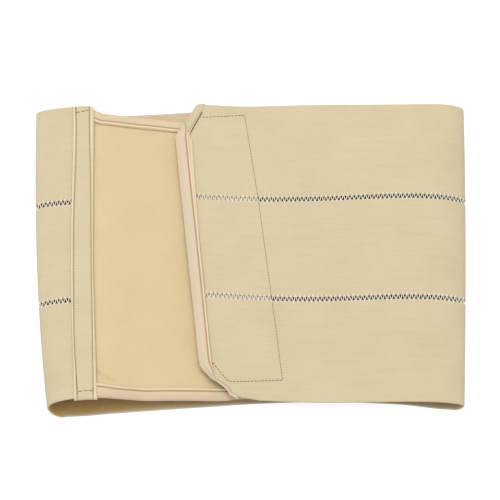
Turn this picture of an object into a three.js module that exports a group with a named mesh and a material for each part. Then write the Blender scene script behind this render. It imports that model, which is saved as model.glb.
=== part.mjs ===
// Abdominal binder: three elastic panels joined by two openwork seams, wrapped into a flattened loop
// and closed by a hook tape over a padded landing panel. It lies on its back on a table.
// Millimetres, +Z up. X runs along the band, Y across it from its lower to its upper edge.
// The origin is the middle of the box at table height.

import * as THREE from 'three';

// Sizes across the band
const WEB_HEIGHT = 73.6;
const OPENWORK_HEIGHT = 3.4;
const CLEARANCE = 0.3;

// Thicknesses
const WEB_THICKNESS = 1.6;
const OPENWORK_THICKNESS = 1.2;
const PANEL_THICKNESS = 2.6;
const HOOK_THICKNESS = 1.2;
const TAPE_THICKNESS = 1.0;
const STRIP_THICKNESS = 1.2;

// The flattened loop: its length between the two turns, and the stands and bends of its layers
const LOOP_LENGTH = 308;
const LEFT_RISE = 23.5;
const RIGHT_RISE = 18.6;
const RIGHT_BEND = 39;
const LEFT_FOOT = 12;
const RIGHT_FOOT = 8;
const BACK_DRIFT = 7.2;

// Joining strip, counted from the left turn of the upper edge, with its lean over the band's height
const STRIP_FROM_TURN = 34.2;
const STRIP_WIDTH = 16.2;
const STRIP_LEAN = 8;
const STRIP_END_INSET = 0.8;

// Landing panel, from the joining strip to its hidden end; insets are counted from the band's edges
const PANEL_LENGTH = 148;
const PANEL_LIFT = 8.2;
const PANEL_SLOPE = 36;
const PANEL_TOP_INSET = 7.1;
const PANEL_TOP_TAPER = 8.3;
const PANEL_LOW_INSET = 0.2;
const PANEL_LOW_TAPER = 3.5;
const PANEL_TAPE_WIDTH = 8.5;

// End of the overlapping layer, counted from the left turn of the upper edge
const TIP_FROM_TURN = 97.6;
const TIP_LEAN = 22.5;
const CHAMFER_RUN = 18.5;
const CHAMFER_RISE = 26.5;
const TIP_TAPE_WIDTH = 8.5;
const TIP_NARROWING = 0.5;
const OVERLAP_LIFT = 12.4;

// Hook tape under that end
const HOOK_WIDTH = 56;
const HOOK_LEAN = 28;
const HOOK_TOP_INSET = 6.5;
const HOOK_LOW_INSET = 10;

// Ridge along the inner edge of a binding tape, and the arm of the tape under the edge
const RIDGE_WIDTH = 2.2;
const RIDGE_HEIGHT = 0.6;
const UNDER_ARM_WIDTH = 6;

// Openwork: rails along both edges, and the share of a cell that half a knot of the zigzag takes
const RAIL_HEIGHT = 0.6;
const KNOT_SHARE = 0.14;

const BAND_HEIGHT = 3 * WEB_HEIGHT + 2 * OPENWORK_HEIGHT + 4 * CLEARANCE;
const HALF_BAND = BAND_HEIGHT / 2;
const HALF_WEB = WEB_HEIGHT / 2;
const LEFT_TURN = -LOOP_LENGTH / 2;
const HIDDEN_END = LEFT_TURN + STRIP_FROM_TURN + STRIP_LEAN / 2 + PANEL_LENGTH;

// Depths of the layers, along the outward normal from the middle of the elastic
const WEB_FACE = WEB_THICKNESS / 2;
const TAPE_UNDER = WEB_FACE + CLEARANCE;
const TAPE_OVER = TAPE_UNDER + TAPE_THICKNESS;
const PANEL_UNDER = WEB_FACE - PANEL_THICKNESS;
const HOOK_OVER = -WEB_FACE - CLEARANCE;
const HOOK_UNDER = HOOK_OVER - HOOK_THICKNESS;
const EDGE_INSET = TAPE_THICKNESS + CLEARANCE;

// Lowest stand of the back, of the landing panel on it, and of the overlapping layer over both
const BACK_REST = WEB_THICKNESS / 2;
const PANEL_REST = WEB_THICKNESS + CLEARANCE - PANEL_UNDER + EDGE_INSET;
const OVERLAP_REST = PANEL_REST + TAPE_OVER + RIDGE_HEIGHT + CLEARANCE - HOOK_UNDER;

// Four sections across the band, from its lower to its upper edge. Reaches are shares of half the
// loop's length. Tops and sides are shares of LEFT_RISE and RIGHT_RISE, the right bend and both feet
// of the sizes so named, and the left bend of the way from the left turn to the joining strip. Panel
// is the share of PANEL_LIFT that the landing panel keeps below its first slope. Dip and tip are the
// shares of OVERLAP_LIFT at which the overlapping layer dips and ends, and dipPlace is the place of
// the dip, as a share of the way from the right crest to the end.
const SECTIONS = [
  { across: -1 / 2, leftReach: 0.902, leftTop: 1.00, leftSide: 0.49, leftBend: 1.00, leftFoot: 1.00,
    rightReach: 0.944, rightTop: 0.82, rightSide: 0.35, rightBend: 0.80, rightFoot: 1.00,
    panel: 1.00, dip: 0.24, dipPlace: 0.50, tip: 0.64 },
  { across: -1 / 6, leftReach: 0.961, leftTop: 0.62, leftSide: 0.36, leftBend: 1.00, leftFoot: 0.75,
    rightReach: 0.968, rightTop: 1.00, rightSide: 0.40, rightBend: 0.97, rightFoot: 1.00,
    panel: 0.70, dip: 0.24, dipPlace: 0.50, tip: 0.88 },
  { across: 1 / 6, leftReach: 0.987, leftTop: 0.48, leftSide: 0.30, leftBend: 0.88, leftFoot: 0.60,
    rightReach: 0.988, rightTop: 1.12, rightSide: 0.43, rightBend: 1.00, rightFoot: 1.00,
    panel: 0.40, dip: 0.24, dipPlace: 0.56, tip: 0.69 },
  { across: 1 / 2, leftReach: 1.000, leftTop: 0.48, leftSide: 0.24, leftBend: 0.94, leftFoot: 0.50,
    rightReach: 0.996, rightTop: 0.78, rightSide: 0.30, rightBend: 0.50, rightFoot: 0.65,
    panel: 0.20, dip: 0.02, dipPlace: 0.76, tip: 0.30 },
];

// Stretches of the run: 0 landing panel, 1 front left, 2 left foot, 3 back, 4 right foot, 5 right
// shoulder, 6 overlapping layer to its end at 7. Sideways drift along them, as a share of BACK_DRIFT.
const DRIFT = [
  { run: 1, share: 0 }, { run: 2, share: -0.46 }, { run: 3, share: -0.92 },
  { run: 3.15, share: -0.54 }, { run: 3.33, share: 0.07 }, { run: 3.52, share: 0.58 },
  { run: 3.70, share: 0.70 }, { run: 3.87, share: 0.46 }, { run: 4, share: -0.05 },
  { run: 5, share: -0.03 }, { run: 6, share: 0 },
];

// Rows across the other pieces and steps along the sides of the two bindings
const STRIP_ROWS = 11;
const PANEL_ROWS = 9;
const HOOK_COLUMNS = 7;
const HIDDEN_END_STEPS = 8;
const SLANT_STEPS = 12;
const CHAMFER_STEPS = 4;
const NARROWING_STEPS = 6;

// Exponent by which the steps of the landing panel close up towards the joining strip, and the step
// at which the slope of the surface is taken
const CLOSING_UP = 1.7;
const SLOPE_STEP = 0.004;

// Steps of the elastic and cells of the openwork along each stretch
const STRETCHES = [
  { name: 'landing panel', steps: 18, cells: 0 },
  { name: 'front left', steps: 9, cells: 4 },
  { name: 'left foot', steps: 5, cells: 2 },
  { name: 'back', steps: 18, cells: 27 },
  { name: 'right foot', steps: 4, cells: 2 },
  { name: 'right shoulder', steps: 8, cells: 4 },
  { name: 'overlapping layer', steps: 14, cells: 16 },
];

const FINISHES = {
  web: { color: 0xddceaa, roughness: 0.92, metalness: 0 },
  thread: { color: 0xf0e9d8, roughness: 0.85, metalness: 0 },
  pile: { color: 0xe8cfa4, roughness: 0.97, metalness: 0 },
  tape: { color: 0xead2b4, roughness: 0.88, metalness: 0 },
  hook: { color: 0xe6dcc4, roughness: 0.8, metalness: 0 },
};

const mix = (a, b, share) => a + (b - a) * share;

const smooth = (share) => {
  const v = Math.min(1, Math.max(0, share));
  return v * v * (3 - 2 * v);
};

const evenShares = (count) => Array.from({ length: count + 1 }, (_, i) => i / count);

// A column of the sections at any place across the band, on the cubic through the four rows
function column(name, level) {
  const across = level / BAND_HEIGHT;
  let sum = 0;
  for (const row of SECTIONS) {
    let weight = 1;
    for (const other of SECTIONS) {
      if (other !== row) weight *= (across - other.across) / (row.across - other.across);
    }
    sum += weight * row[name];
  }
  return sum;
}

// Smooth curve through the rows of the drift table: cubic pieces whose slopes follow the neighbours
function driftAt(run) {
  const last = DRIFT.length - 1;
  if (run <= DRIFT[0].run || run >= DRIFT[last].run) return 0;
  const slope = (k) => {
    const before = DRIFT[Math.max(k - 1, 0)];
    const after = DRIFT[Math.min(k + 1, last)];
    return (after.share - before.share) / (after.run - before.run);
  };
  const i = DRIFT.findLastIndex((row) => row.run <= run);
  const span = DRIFT[i + 1].run - DRIFT[i].run;
  const v = (run - DRIFT[i].run) / span;
  const bend = span * v * (1 - v) * (slope(i) * (1 - v) - slope(i + 1) * v);
  return BACK_DRIFT * (mix(DRIFT[i].share, DRIFT[i + 1].share, smooth(v)) + bend);
}

// Axis of the joining strip, and the two turns of the loop
const stripX = (level) => LEFT_TURN + STRIP_FROM_TURN + STRIP_LEAN * (0.5 - level / BAND_HEIGHT);
const leftX = (level) => LEFT_TURN * column('leftReach', level);
const rightX = (level) => -LEFT_TURN * column('rightReach', level);
const crestX = (level) => rightX(level) - RIGHT_BEND * column('rightBend', level);

// An open outline as corners, each with the direction in which its inset corner moves: insetting by
// w moves a corner by w times that direction. The two ends slide along a given direction.
function outline(corners, endDirection) {
  const inward = corners.slice(1).map((corner, k) => {
    const along = corner.clone().sub(corners[k]).normalize();
    return new THREE.Vector2(-along.y, along.x);
  });
  return corners.map((corner, k) => {
    const before = inward[k - 1];
    const after = inward[k];
    let move;
    if (before && after) {
      move = before.clone().add(after).divideScalar(1 + before.dot(after));
    } else {
      const normal = before ?? after;
      move = endDirection.clone().divideScalar(endDirection.dot(normal));
    }
    return { corner, move };
  });
}

// End of the overlapping layer, from the upper to the lower edge: slanted, with both corners cut
const tipSlant = (level) => LEFT_TURN + TIP_FROM_TURN + TIP_LEAN * (0.5 - level / BAND_HEIGHT);
const TIP = outline([
  new THREE.Vector2(tipSlant(HALF_BAND) + CHAMFER_RUN, HALF_BAND),
  new THREE.Vector2(tipSlant(HALF_BAND - CHAMFER_RISE), HALF_BAND - CHAMFER_RISE),
  new THREE.Vector2(tipSlant(CHAMFER_RISE - HALF_BAND), CHAMFER_RISE - HALF_BAND),
  new THREE.Vector2(tipSlant(-HALF_BAND) + CHAMFER_RUN, -HALF_BAND),
], new THREE.Vector2(1, 0));

// Corner k of an outline, inset by a width
const insetCorner = (edge, k, width) => edge[k].corner.clone().addScaledVector(edge[k].move, width);

// Where the inset end of the overlapping layer crosses a level
function tipX(level, inset) {
  const points = TIP.map((_, k) => insetCorner(TIP, k, inset));
  const k = level > points[1].y ? 0 : level > points[2].y ? 1 : 2;
  return mix(points[k].x, points[k + 1].x, (level - points[k].y) / (points[k + 1].y - points[k].y));
}

// Upper and lower edge of the landing panel at a share of its way to the joining strip
const panelTop = (share) => HALF_BAND - PANEL_TOP_INSET - PANEL_TOP_TAPER * (1 - share);
const panelLow = (share) => PANEL_LOW_INSET + PANEL_LOW_TAPER * (1 - share) - HALF_BAND;

// Height of the front left of the strip: an ellipse from the left turn up to a level top
function frontHeight(x, level) {
  const side = column('leftSide', level) * LEFT_RISE;
  const top = column('leftTop', level) * LEFT_RISE;
  const left = leftX(level);
  const bend = (stripX(level) - left) * Math.min(1, column('leftBend', level));
  const away = Math.max(0, (left + bend - x) / bend);
  return side + (top - side) * Math.sqrt(Math.max(0, 1 - away * away));
}

// Height of the landing panel: it slopes down beside the strip and runs out to its lowest stand
function panelHeight(x, level) {
  const start = stripX(level) + STRIP_WIDTH / 2;
  const top = column('leftTop', level) * LEFT_RISE;
  const low = PANEL_REST + PANEL_LIFT * column('panel', level);
  if (x < start + PANEL_SLOPE) return mix(top, low, smooth((x - start) / PANEL_SLOPE));
  const out = (x - start - PANEL_SLOPE) / (HIDDEN_END - start - PANEL_SLOPE);
  return mix(low, PANEL_REST, smooth(out));
}

// Height of the overlapping layer: from the right crest down to a dip and up again to its end
function overlapHeight(share, level) {
  const crest = column('rightTop', level) * RIGHT_RISE;
  const dip = OVERLAP_REST + OVERLAP_LIFT * column('dip', level);
  const tip = OVERLAP_REST + OVERLAP_LIFT * column('tip', level);
  const place = column('dipPlace', level);
  if (share < place) return mix(crest, dip, smooth(share / place));
  return mix(dip, tip, smooth((share - place) / (1 - place)));
}

// Middle surface of the band. Feet and shoulders are quarter ellipses, the back is flat.
function surface(run, level) {
  const stretch = Math.min(6, Math.max(0, Math.floor(run)));
  const share = run - stretch;
  const turn = share * Math.PI / 2;
  const place = (x, z) => new THREE.Vector3(x, level + driftAt(run), z);
  const strip = stripX(level);
  const left = leftX(level);
  const right = rightX(level);
  const leftFoot = LEFT_FOOT * column('leftFoot', level);
  const rightFoot = RIGHT_FOOT * column('rightFoot', level);
  const leftSide = column('leftSide', level) * LEFT_RISE;
  const rightSide = column('rightSide', level) * RIGHT_RISE;
  const rightTop = column('rightTop', level) * RIGHT_RISE;
  if (stretch === 0) {
    const x = mix(HIDDEN_END, strip, share);
    return place(x, panelHeight(x, level));
  }
  if (stretch === 1) {
    const x = strip - (strip - left) * Math.sin(turn);
    return place(x, frontHeight(x, level));
  }
  if (stretch === 2) {
    const x = left + leftFoot * (1 - Math.cos(turn));
    return place(x, leftSide - (leftSide - BACK_REST) * Math.sin(turn));
  }
  if (stretch === 3) return place(mix(left + leftFoot, right - rightFoot, share), BACK_REST);
  if (stretch === 4) {
    const x = right - rightFoot * (1 - Math.sin(turn));
    return place(x, rightSide - (rightSide - BACK_REST) * Math.cos(turn));
  }
  if (stretch === 5) {
    const x = right - (right - crestX(level)) * (1 - Math.cos(turn));
    return place(x, rightSide + (rightTop - rightSide) * Math.sin(turn));
  }
  return place(mix(crestX(level), tipX(level, 0), share), overlapHeight(share, level));
}

// Point at a depth along the surface's outward normal
function layerPoint(run, level, depth) {
  const along = surface(run + SLOPE_STEP, level).sub(surface(run - SLOPE_STEP, level));
  const across = surface(run, level + SLOPE_STEP).sub(surface(run, level - SLOPE_STEP));
  return surface(run, level).addScaledVector(across.cross(along).normalize(), depth);
}

// The run at which a layer on the front, or the overlapping layer, reaches an x
function frontRun(x, level) {
  const strip = stripX(level);
  if (x >= strip) return (HIDDEN_END - x) / (HIDDEN_END - strip);
  return 1 + Math.asin((strip - x) / (strip - leftX(level))) * 2 / Math.PI;
}

const overlapRun = (x, level) => 6 + (x - crestX(level)) / (tipX(level, 0) - crestX(level));

// A layer of even thickness. Points are places on the band, triangles index them, and a wall closes
// every edge that only one triangle has.
function plate(points, triangles, under, over) {
  const positions = [];
  for (const depth of [over, under]) {
    for (const { run, level } of points) positions.push(...layerPoint(run, level, depth).toArray());
  }
  const count = points.length;
  const index = [];
  const edges = new Map();
  for (const [a, b, c] of triangles) {
    const [p, q, r] = [points[a], points[b], points[c]];
    const area = (q.run - p.run) * (r.level - p.level) - (r.run - p.run) * (q.level - p.level);
    const face = area < 0 ? [a, b, c] : [a, c, b];
    index.push(...face, face[2] + count, face[1] + count, face[0] + count);
    face.forEach((from, k) => edges.set(`${from} ${face[(k + 1) % 3]}`, [from, face[(k + 1) % 3]]));
  }
  for (const [from, to] of edges.values()) {
    if (!edges.has(`${to} ${from}`)) {
      index.push(to, from, from + count, to, from + count, to + count);
    }
  }
  const geometry = new THREE.BufferGeometry();
  geometry.setAttribute('position', new THREE.Float32BufferAttribute(positions, 3));
  geometry.setIndex(index);
  return geometry;
}

// A plate on a grid: placeAt gives the place on the band for a column and a row
function gridPlate(columns, rows, placeAt, under, over) {
  const points = [];
  const triangles = [];
  for (let i = 0; i < columns; i += 1) {
    for (let j = 0; j < rows; j += 1) points.push(placeAt(i, j));
  }
  for (let i = 0; i < columns - 1; i += 1) {
    for (let j = 0; j < rows - 1; j += 1) {
      const a = i * rows + j;
      triangles.push([a, a + 1, a + rows], [a + 1, a + rows + 1, a + rows]);
    }
  }
  return plate(points, triangles, under, over);
}

// A closed profile of widths and depths, carried along an outline on the band and capped. Stops are
// the shares of each side of the outline at which the profile stands, after the side's first corner.
// Past the second last corner the tape narrows to a share of its width.
function tape(edge, stops, runAt, profile, endShare) {
  const stations = [{ ...edge[0], narrow: 1 }];
  const lastSide = stops.length - 1;
  stops.forEach((shares, k) => {
    for (const share of shares) {
      stations.push({
        corner: edge[k].corner.clone().lerp(edge[k + 1].corner, share),
        move: edge[k].move.clone().lerp(edge[k + 1].move, share),
        narrow: k === lastSide ? mix(1, endShare, smooth(share * 3)) : 1,
      });
    }
  });
  const positions = [];
  for (const { corner, move, narrow } of stations) {
    for (const { width, depth } of profile) {
      const inset = width > TAPE_THICKNESS ? mix(TAPE_THICKNESS, width, narrow) : width;
      const place = corner.clone().addScaledVector(move, inset);
      positions.push(...layerPoint(runAt(place.x, place.y), place.y, depth).toArray());
    }
  }
  const size = profile.length;
  const index = [];
  for (let i = 0; i < stations.length - 1; i += 1) {
    for (let k = 0; k < size; k += 1) {
      const a = i * size + k;
      const b = i * size + (k + 1) % size;
      index.push(a, a + size, b, b, a + size, b + size);
    }
  }
  const cap = THREE.ShapeUtils.triangulateShape(
    profile.map(({ width, depth }) => new THREE.Vector2(width, depth)), []);
  const end = (stations.length - 1) * size;
  for (const [a, b, c] of cap) index.push(c, b, a, end + a, end + b, end + c);
  const geometry = new THREE.BufferGeometry();
  geometry.setAttribute('position', new THREE.Float32BufferAttribute(positions, 3));
  geometry.setIndex(index);
  return geometry;
}

// Folded tape round an edge: over it with a ridge along the inner side, round it, and a short arm
// under it. Width 0 is the outer edge of the tape.
function tapeProfile(width, under) {
  const low = under - CLEARANCE;
  return [
    { width: 0, depth: low - TAPE_THICKNESS },
    { width: 0, depth: TAPE_OVER },
    { width: width - RIDGE_WIDTH, depth: TAPE_OVER },
    { width: width - RIDGE_WIDTH * 0.75, depth: TAPE_OVER + RIDGE_HEIGHT },
    { width: width - RIDGE_WIDTH * 0.25, depth: TAPE_OVER + RIDGE_HEIGHT },
    { width, depth: TAPE_OVER },
    { width, depth: TAPE_UNDER },
    { width: TAPE_THICKNESS, depth: TAPE_UNDER },
    { width: TAPE_THICKNESS, depth: low },
    { width: UNDER_ARM_WIDTH, depth: low },
    { width: UNDER_ARM_WIDTH, depth: low - TAPE_THICKNESS },
  ];
}

// Runs from the joining strip to the end of the overlapping layer, for a number of steps a stretch
function bandRun(level, stretch, share) {
  const start = frontRun(stripX(level) - CLEARANCE, level);
  const end = overlapRun(tipX(level, EDGE_INSET), level);
  if (stretch === 1) return mix(start, 2, share);
  if (stretch === 6) return mix(6, end, share);
  return stretch + share;
}

function bandStations(kind) {
  const stations = [{ stretch: 1, share: 0 }];
  STRETCHES.forEach((row, stretch) => {
    if (stretch === 0) return;
    for (let i = 1; i <= row[kind]; i += 1) stations.push({ stretch, share: i / row[kind] });
  });
  return stations;
}

// Elastic panel between two levels, with a row where the corner of the end is cut
function web(levels) {
  const stations = bandStations('steps');
  const placeAt = (i, j) => {
    const level = levels[j];
    return { run: bandRun(level, stations[i].stretch, stations[i].share), level };
  };
  return gridPlate(stations.length, levels.length, placeAt, -WEB_FACE, WEB_FACE);
}

// Openwork between two levels: two rails and a zigzag of slanting bars from knot to knot
function openwork(low) {
  const rails = [
    { outer: low, inner: low + RAIL_HEIGHT },
    { outer: low + OPENWORK_HEIGHT, inner: low + OPENWORK_HEIGHT - RAIL_HEIGHT },
  ];
  const stations = bandStations('cells');
  const runs = stations.map(({ stretch, share }) => bandRun(low, stretch, share));
  const points = [];
  const triangles = [];
  const add = (run, level) => points.push({ run, level }) - 1;
  const quad = (a, b, c, d) => triangles.push([a, b, c], [a, c, d]);
  const ends = [null, null];
  let bar = null;
  runs.forEach((run, i) => {
    const before = runs[i - 1] ?? run;
    const after = runs[i + 1] ?? run;
    const first = run - KNOT_SHARE * (run - before);
    const second = run + KNOT_SHARE * (after - run);
    const knotRail = i % 2;
    rails.forEach(({ outer, inner }, r) => {
      const places = r === knotRail ? [first, second] : [run];
      const pairs = places.map((place) => ({ outer: add(place, outer), inner: add(place, inner) }));
      for (const pair of pairs) {
        if (ends[r]) quad(ends[r].outer, pair.outer, pair.inner, ends[r].inner);
        ends[r] = pair;
      }
      if (r !== knotRail) return;
      const across = rails[1 - r].inner - inner;
      const apex = add(run, inner + KNOT_SHARE * across);
      triangles.push([pairs[0].inner, pairs[1].inner, apex]);
      if (bar) quad(bar.apex, bar.inner, apex, pairs[0].inner);
      bar = { apex, inner: pairs[1].inner };
    });
  });
  return plate(points, triangles, -OPENWORK_THICKNESS / 2, OPENWORK_THICKNESS / 2);
}

// Folded tape sewn over the joint of the elastic and the landing panel
function joiningStrip() {
  const offsets = [-1, -0.5, 0, 0.5, 1].map((share) => share * STRIP_WIDTH / 2);
  const placeAt = (i, j) => {
    const level = mix(-1, 1, j / (STRIP_ROWS - 1)) * (HALF_BAND - STRIP_END_INSET);
    return { run: frontRun(stripX(level) - offsets[i], level), level };
  };
  return gridPlate(offsets.length, STRIP_ROWS, placeAt, TAPE_UNDER, TAPE_UNDER + STRIP_THICKNESS);
}

// Shares of the landing panel's length at which it is divided, closer together near the strip
const PANEL_SHARES = evenShares(STRETCHES[0].steps).map((share) => 1 - (1 - share) ** CLOSING_UP);

// Landing panel, from its hidden end to the joint under the strip, inside its binding
function loopPanel() {
  const placeAt = (i, j) => {
    const share = PANEL_SHARES[i];
    const upward = j / (PANEL_ROWS - 1);
    const level = mix(panelLow(share) + EDGE_INSET, panelTop(share) - EDGE_INSET, upward);
    const x = mix(HIDDEN_END - EDGE_INSET, stripX(level) + CLEARANCE, share);
    return { run: frontRun(x, level), level };
  };
  return gridPlate(PANEL_SHARES.length, PANEL_ROWS, placeAt, PANEL_UNDER, WEB_FACE);
}

// Binding round the upper edge, the hidden end and the lower edge of the landing panel
function panelBinding() {
  const share = 1 - (STRIP_WIDTH / 2 + CLEARANCE) / PANEL_LENGTH;
  const startX = (level) => mix(HIDDEN_END, stripX(level), share);
  const edge = outline([
    new THREE.Vector2(startX(panelLow(share)), panelLow(share)),
    new THREE.Vector2(HIDDEN_END, panelLow(0)),
    new THREE.Vector2(HIDDEN_END, panelTop(0)),
    new THREE.Vector2(startX(panelTop(share)), panelTop(share)),
  ], new THREE.Vector2(-STRIP_LEAN, BAND_HEIGHT));
  const outward = PANEL_SHARES.filter((place) => place < share).map((place) => place / share);
  const back = outward.map((place) => 1 - place).reverse();
  const stops = [back, evenShares(HIDDEN_END_STEPS).slice(1), [...outward.slice(1), 1]];
  return tape(edge, stops, frontRun, tapeProfile(PANEL_TAPE_WIDTH, PANEL_UNDER), 1);
}

// Hook tape under the end of the overlapping layer
function hookPatch() {
  const low = HOOK_LOW_INSET - HALF_BAND;
  const high = HALF_BAND - HOOK_TOP_INSET;
  const corners = [1, 2].map((k) => insetCorner(TIP, k, EDGE_INSET).y);
  const middle = evenShares(SLANT_STEPS).map((share) => mix(corners[1], corners[0], share));
  const levels = [low, ...middle, high];
  const lean = (HOOK_LEAN - TIP_LEAN) / BAND_HEIGHT;
  const placeAt = (i, j) => {
    const level = levels[j];
    const inner = tipSlant(level) + HOOK_WIDTH - lean * level;
    const x = mix(inner, tipX(level, EDGE_INSET), i / (HOOK_COLUMNS - 1));
    return { run: overlapRun(x, level), level };
  };
  return gridPlate(HOOK_COLUMNS, levels.length, placeAt, HOOK_UNDER, HOOK_OVER);
}

// Binding folded over the slanted end of the overlapping layer
function endBinding() {
  const profile = tapeProfile(TIP_TAPE_WIDTH, HOOK_UNDER);
  const counts = [CHAMFER_STEPS, SLANT_STEPS, NARROWING_STEPS];
  const stops = counts.map((count) => evenShares(count).slice(1));
  return tape(TIP, stops, overlapRun, profile, TIP_NARROWING);
}

function piece(name, geometry, finish) {
  const material = new THREE.MeshStandardMaterial(FINISHES[finish]);
  material.name = finish;
  geometry.computeVertexNormals();
  const mesh = new THREE.Mesh(geometry, material);
  mesh.name = name;
  return mesh;
}

function binder() {
  const seam = HALF_WEB + CLEARANCE;
  const edge = seam + OPENWORK_HEIGHT + CLEARANCE;
  const cut = insetCorner(TIP, 1, EDGE_INSET).y;
  const lowCut = insetCorner(TIP, 2, EDGE_INSET).y;
  const parts = new THREE.Group();
  parts.add(
    piece('web_upper', web([edge, mix(edge, cut, 0.5), cut, HALF_BAND]), 'web'),
    piece('web_middle', web([-HALF_WEB, -HALF_WEB / 3, HALF_WEB / 3, HALF_WEB]), 'web'),
    piece('web_lower', web([-HALF_BAND, lowCut, mix(lowCut, -edge, 0.5), -edge]), 'web'),
    piece('openwork_upper', openwork(seam), 'thread'),
    piece('openwork_lower', openwork(-seam - OPENWORK_HEIGHT), 'thread'),
    piece('joining_strip', joiningStrip(), 'tape'),
    piece('loop_panel', loopPanel(), 'pile'),
    piece('panel_binding', panelBinding(), 'tape'),
    piece('hook_patch', hookPatch(), 'hook'),
    piece('end_binding', endBinding(), 'tape'),
  );
  const centre = new THREE.Box3().setFromObject(parts).getCenter(new THREE.Vector3());
  parts.position.set(-centre.x, -centre.y, 0);
  const group = new THREE.Group();
  group.add(parts);
  return group;
}

export default binder();
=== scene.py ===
"""Abdominal binder: three elastic panels joined by openwork, closed into a flattened loop.

All lengths in the classes are millimetres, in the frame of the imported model: X along the band,
Y across it from its lower to its upper edge, +Z up from the table. Meshes are made in metres.
A place on the band is a run (0 at the hidden end of the landing panel, 7 at the end of the
overlapping layer), a level across the band, and a depth along the outward normal.
"""

import logging
import math
from collections.abc import Callable
from dataclasses import dataclass, field
from enum import Enum

import bpy
import numpy as np
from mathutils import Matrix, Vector


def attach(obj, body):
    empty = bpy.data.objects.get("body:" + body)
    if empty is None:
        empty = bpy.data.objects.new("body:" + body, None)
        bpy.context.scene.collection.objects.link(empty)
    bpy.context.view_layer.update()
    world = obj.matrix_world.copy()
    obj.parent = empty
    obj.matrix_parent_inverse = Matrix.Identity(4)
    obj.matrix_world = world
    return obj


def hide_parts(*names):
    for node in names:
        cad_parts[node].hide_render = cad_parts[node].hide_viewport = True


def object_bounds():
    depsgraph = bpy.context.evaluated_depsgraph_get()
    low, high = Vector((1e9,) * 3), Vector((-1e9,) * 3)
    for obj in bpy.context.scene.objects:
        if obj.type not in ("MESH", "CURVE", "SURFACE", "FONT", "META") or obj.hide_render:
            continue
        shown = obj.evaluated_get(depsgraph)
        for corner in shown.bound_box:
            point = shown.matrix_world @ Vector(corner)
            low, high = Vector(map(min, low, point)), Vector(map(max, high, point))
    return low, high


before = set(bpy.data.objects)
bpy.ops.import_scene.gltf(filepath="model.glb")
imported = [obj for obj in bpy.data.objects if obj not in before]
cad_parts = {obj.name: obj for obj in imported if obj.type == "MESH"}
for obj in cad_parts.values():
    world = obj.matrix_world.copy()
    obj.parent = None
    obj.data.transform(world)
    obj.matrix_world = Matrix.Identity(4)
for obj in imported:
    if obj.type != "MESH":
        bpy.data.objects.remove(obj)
CAD_BOX = [list(corner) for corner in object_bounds()]
LOG = logging.getLogger("binder")
MM = 0.001
BODY = "root"
Values = float | np.ndarray
RunAt = Callable[[np.ndarray, np.ndarray], np.ndarray]
ShareAt = Callable[[np.ndarray], np.ndarray]
Faces = list[np.ndarray]
Socket = bpy.types.NodeSocket


class Layer(Enum):
    """Stretches of the run, in their order round the loop."""

    LANDING = 0
    FRONT_LEFT = 1
    LEFT_FOOT = 2
    BACK = 3
    RIGHT_FOOT = 4
    RIGHT_SHOULDER = 5
    OVERLAP = 6


# Four sections across the band, from its lower to its upper edge, a column for each name
SECTION_PLACES = np.array([-1 / 2, -1 / 6, 1 / 6, 1 / 2])
SECTIONS = {
    "left_reach": (0.895, 0.951, 0.984, 1.000),
    "left_top": (1.00, 0.62, 0.48, 0.48),
    "left_side": (0.49, 0.36, 0.30, 0.24),
    "left_bend": (1.00, 1.00, 0.88, 0.94),
    "left_foot": (1.00, 0.75, 0.60, 0.50),
    "right_reach": (0.950, 0.972, 0.989, 1.000),
    "right_top": (0.82, 1.00, 1.12, 0.78),
    "right_side": (0.35, 0.40, 0.43, 0.30),
    "right_bend": (0.80, 0.97, 1.00, 0.50),
    "right_foot": (1.00, 1.00, 1.00, 0.65),
    "panel": (1.00, 0.70, 0.40, 0.20),
    "dip": (0.24, 0.24, 0.24, 0.02),
    "dip_place": (0.50, 0.50, 0.56, 0.76),
    "tip": (0.64, 0.88, 0.69, 0.30),
}

# Waves of the band's lower and upper edge: height, centre and width along the run
LOW_WAVES = ((1.3, 3.1, 0.2),)
HIGH_WAVES = ((0.9, 3.13, 0.08), (-0.65, 3.36, 0.12), (0.95, 6.52, 0.2))

# Steps of the panel's upper and lower edge: height, and start and width as shares of its length
PANEL_TOP_STEPS = ((1.8, 0.5, 0.25),)
PANEL_LOW_STEPS = ((2.0, 0.36, -0.1), (-0.6, 0.75, 0.15))

# Sideways drift of the band, as shares of the back's drift at places along the run
DRIFT_RUNS = np.array([1, 2, 3, 3.15, 3.33, 3.52, 3.70, 3.87, 4, 5, 6])
DRIFT_SHARES = np.array([0, -0.46, -0.92, -0.54, 0.07, 0.58, 0.70, 0.46, -0.05, -0.03, 0])


def mix(a: Values, b: Values, share: Values) -> Values:
    """Returns the value a share of the way from a to b."""
    return a + (b - a) * share


def smooth(share: Values) -> Values:
    """Returns the smooth step of a share, held between 0 and 1: 3 share^2 - 2 share^3."""
    v = np.clip(share, 0, 1)
    return v * v * (3 - 2 * v)


def bump(place: Values, centre: Values, width: float) -> Values:
    """Returns a bell of height 1: exp(-((place - centre) / width)^2)."""
    return np.exp(-(((np.asarray(place) - centre) / width) ** 2))


def waves(rows: tuple, place: Values) -> Values:
    """Returns the sum of the rows' bells, each height bump(place, centre, width)."""
    return sum(height * bump(place, centre, width) for height, centre, width in rows)


def steps(rows: tuple, place: Values) -> Values:
    """Returns the sum of the rows' steps, each height smooth((place - start) / width)."""
    return sum(height * smooth((place - start) / width) for height, start, width in rows)


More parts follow.
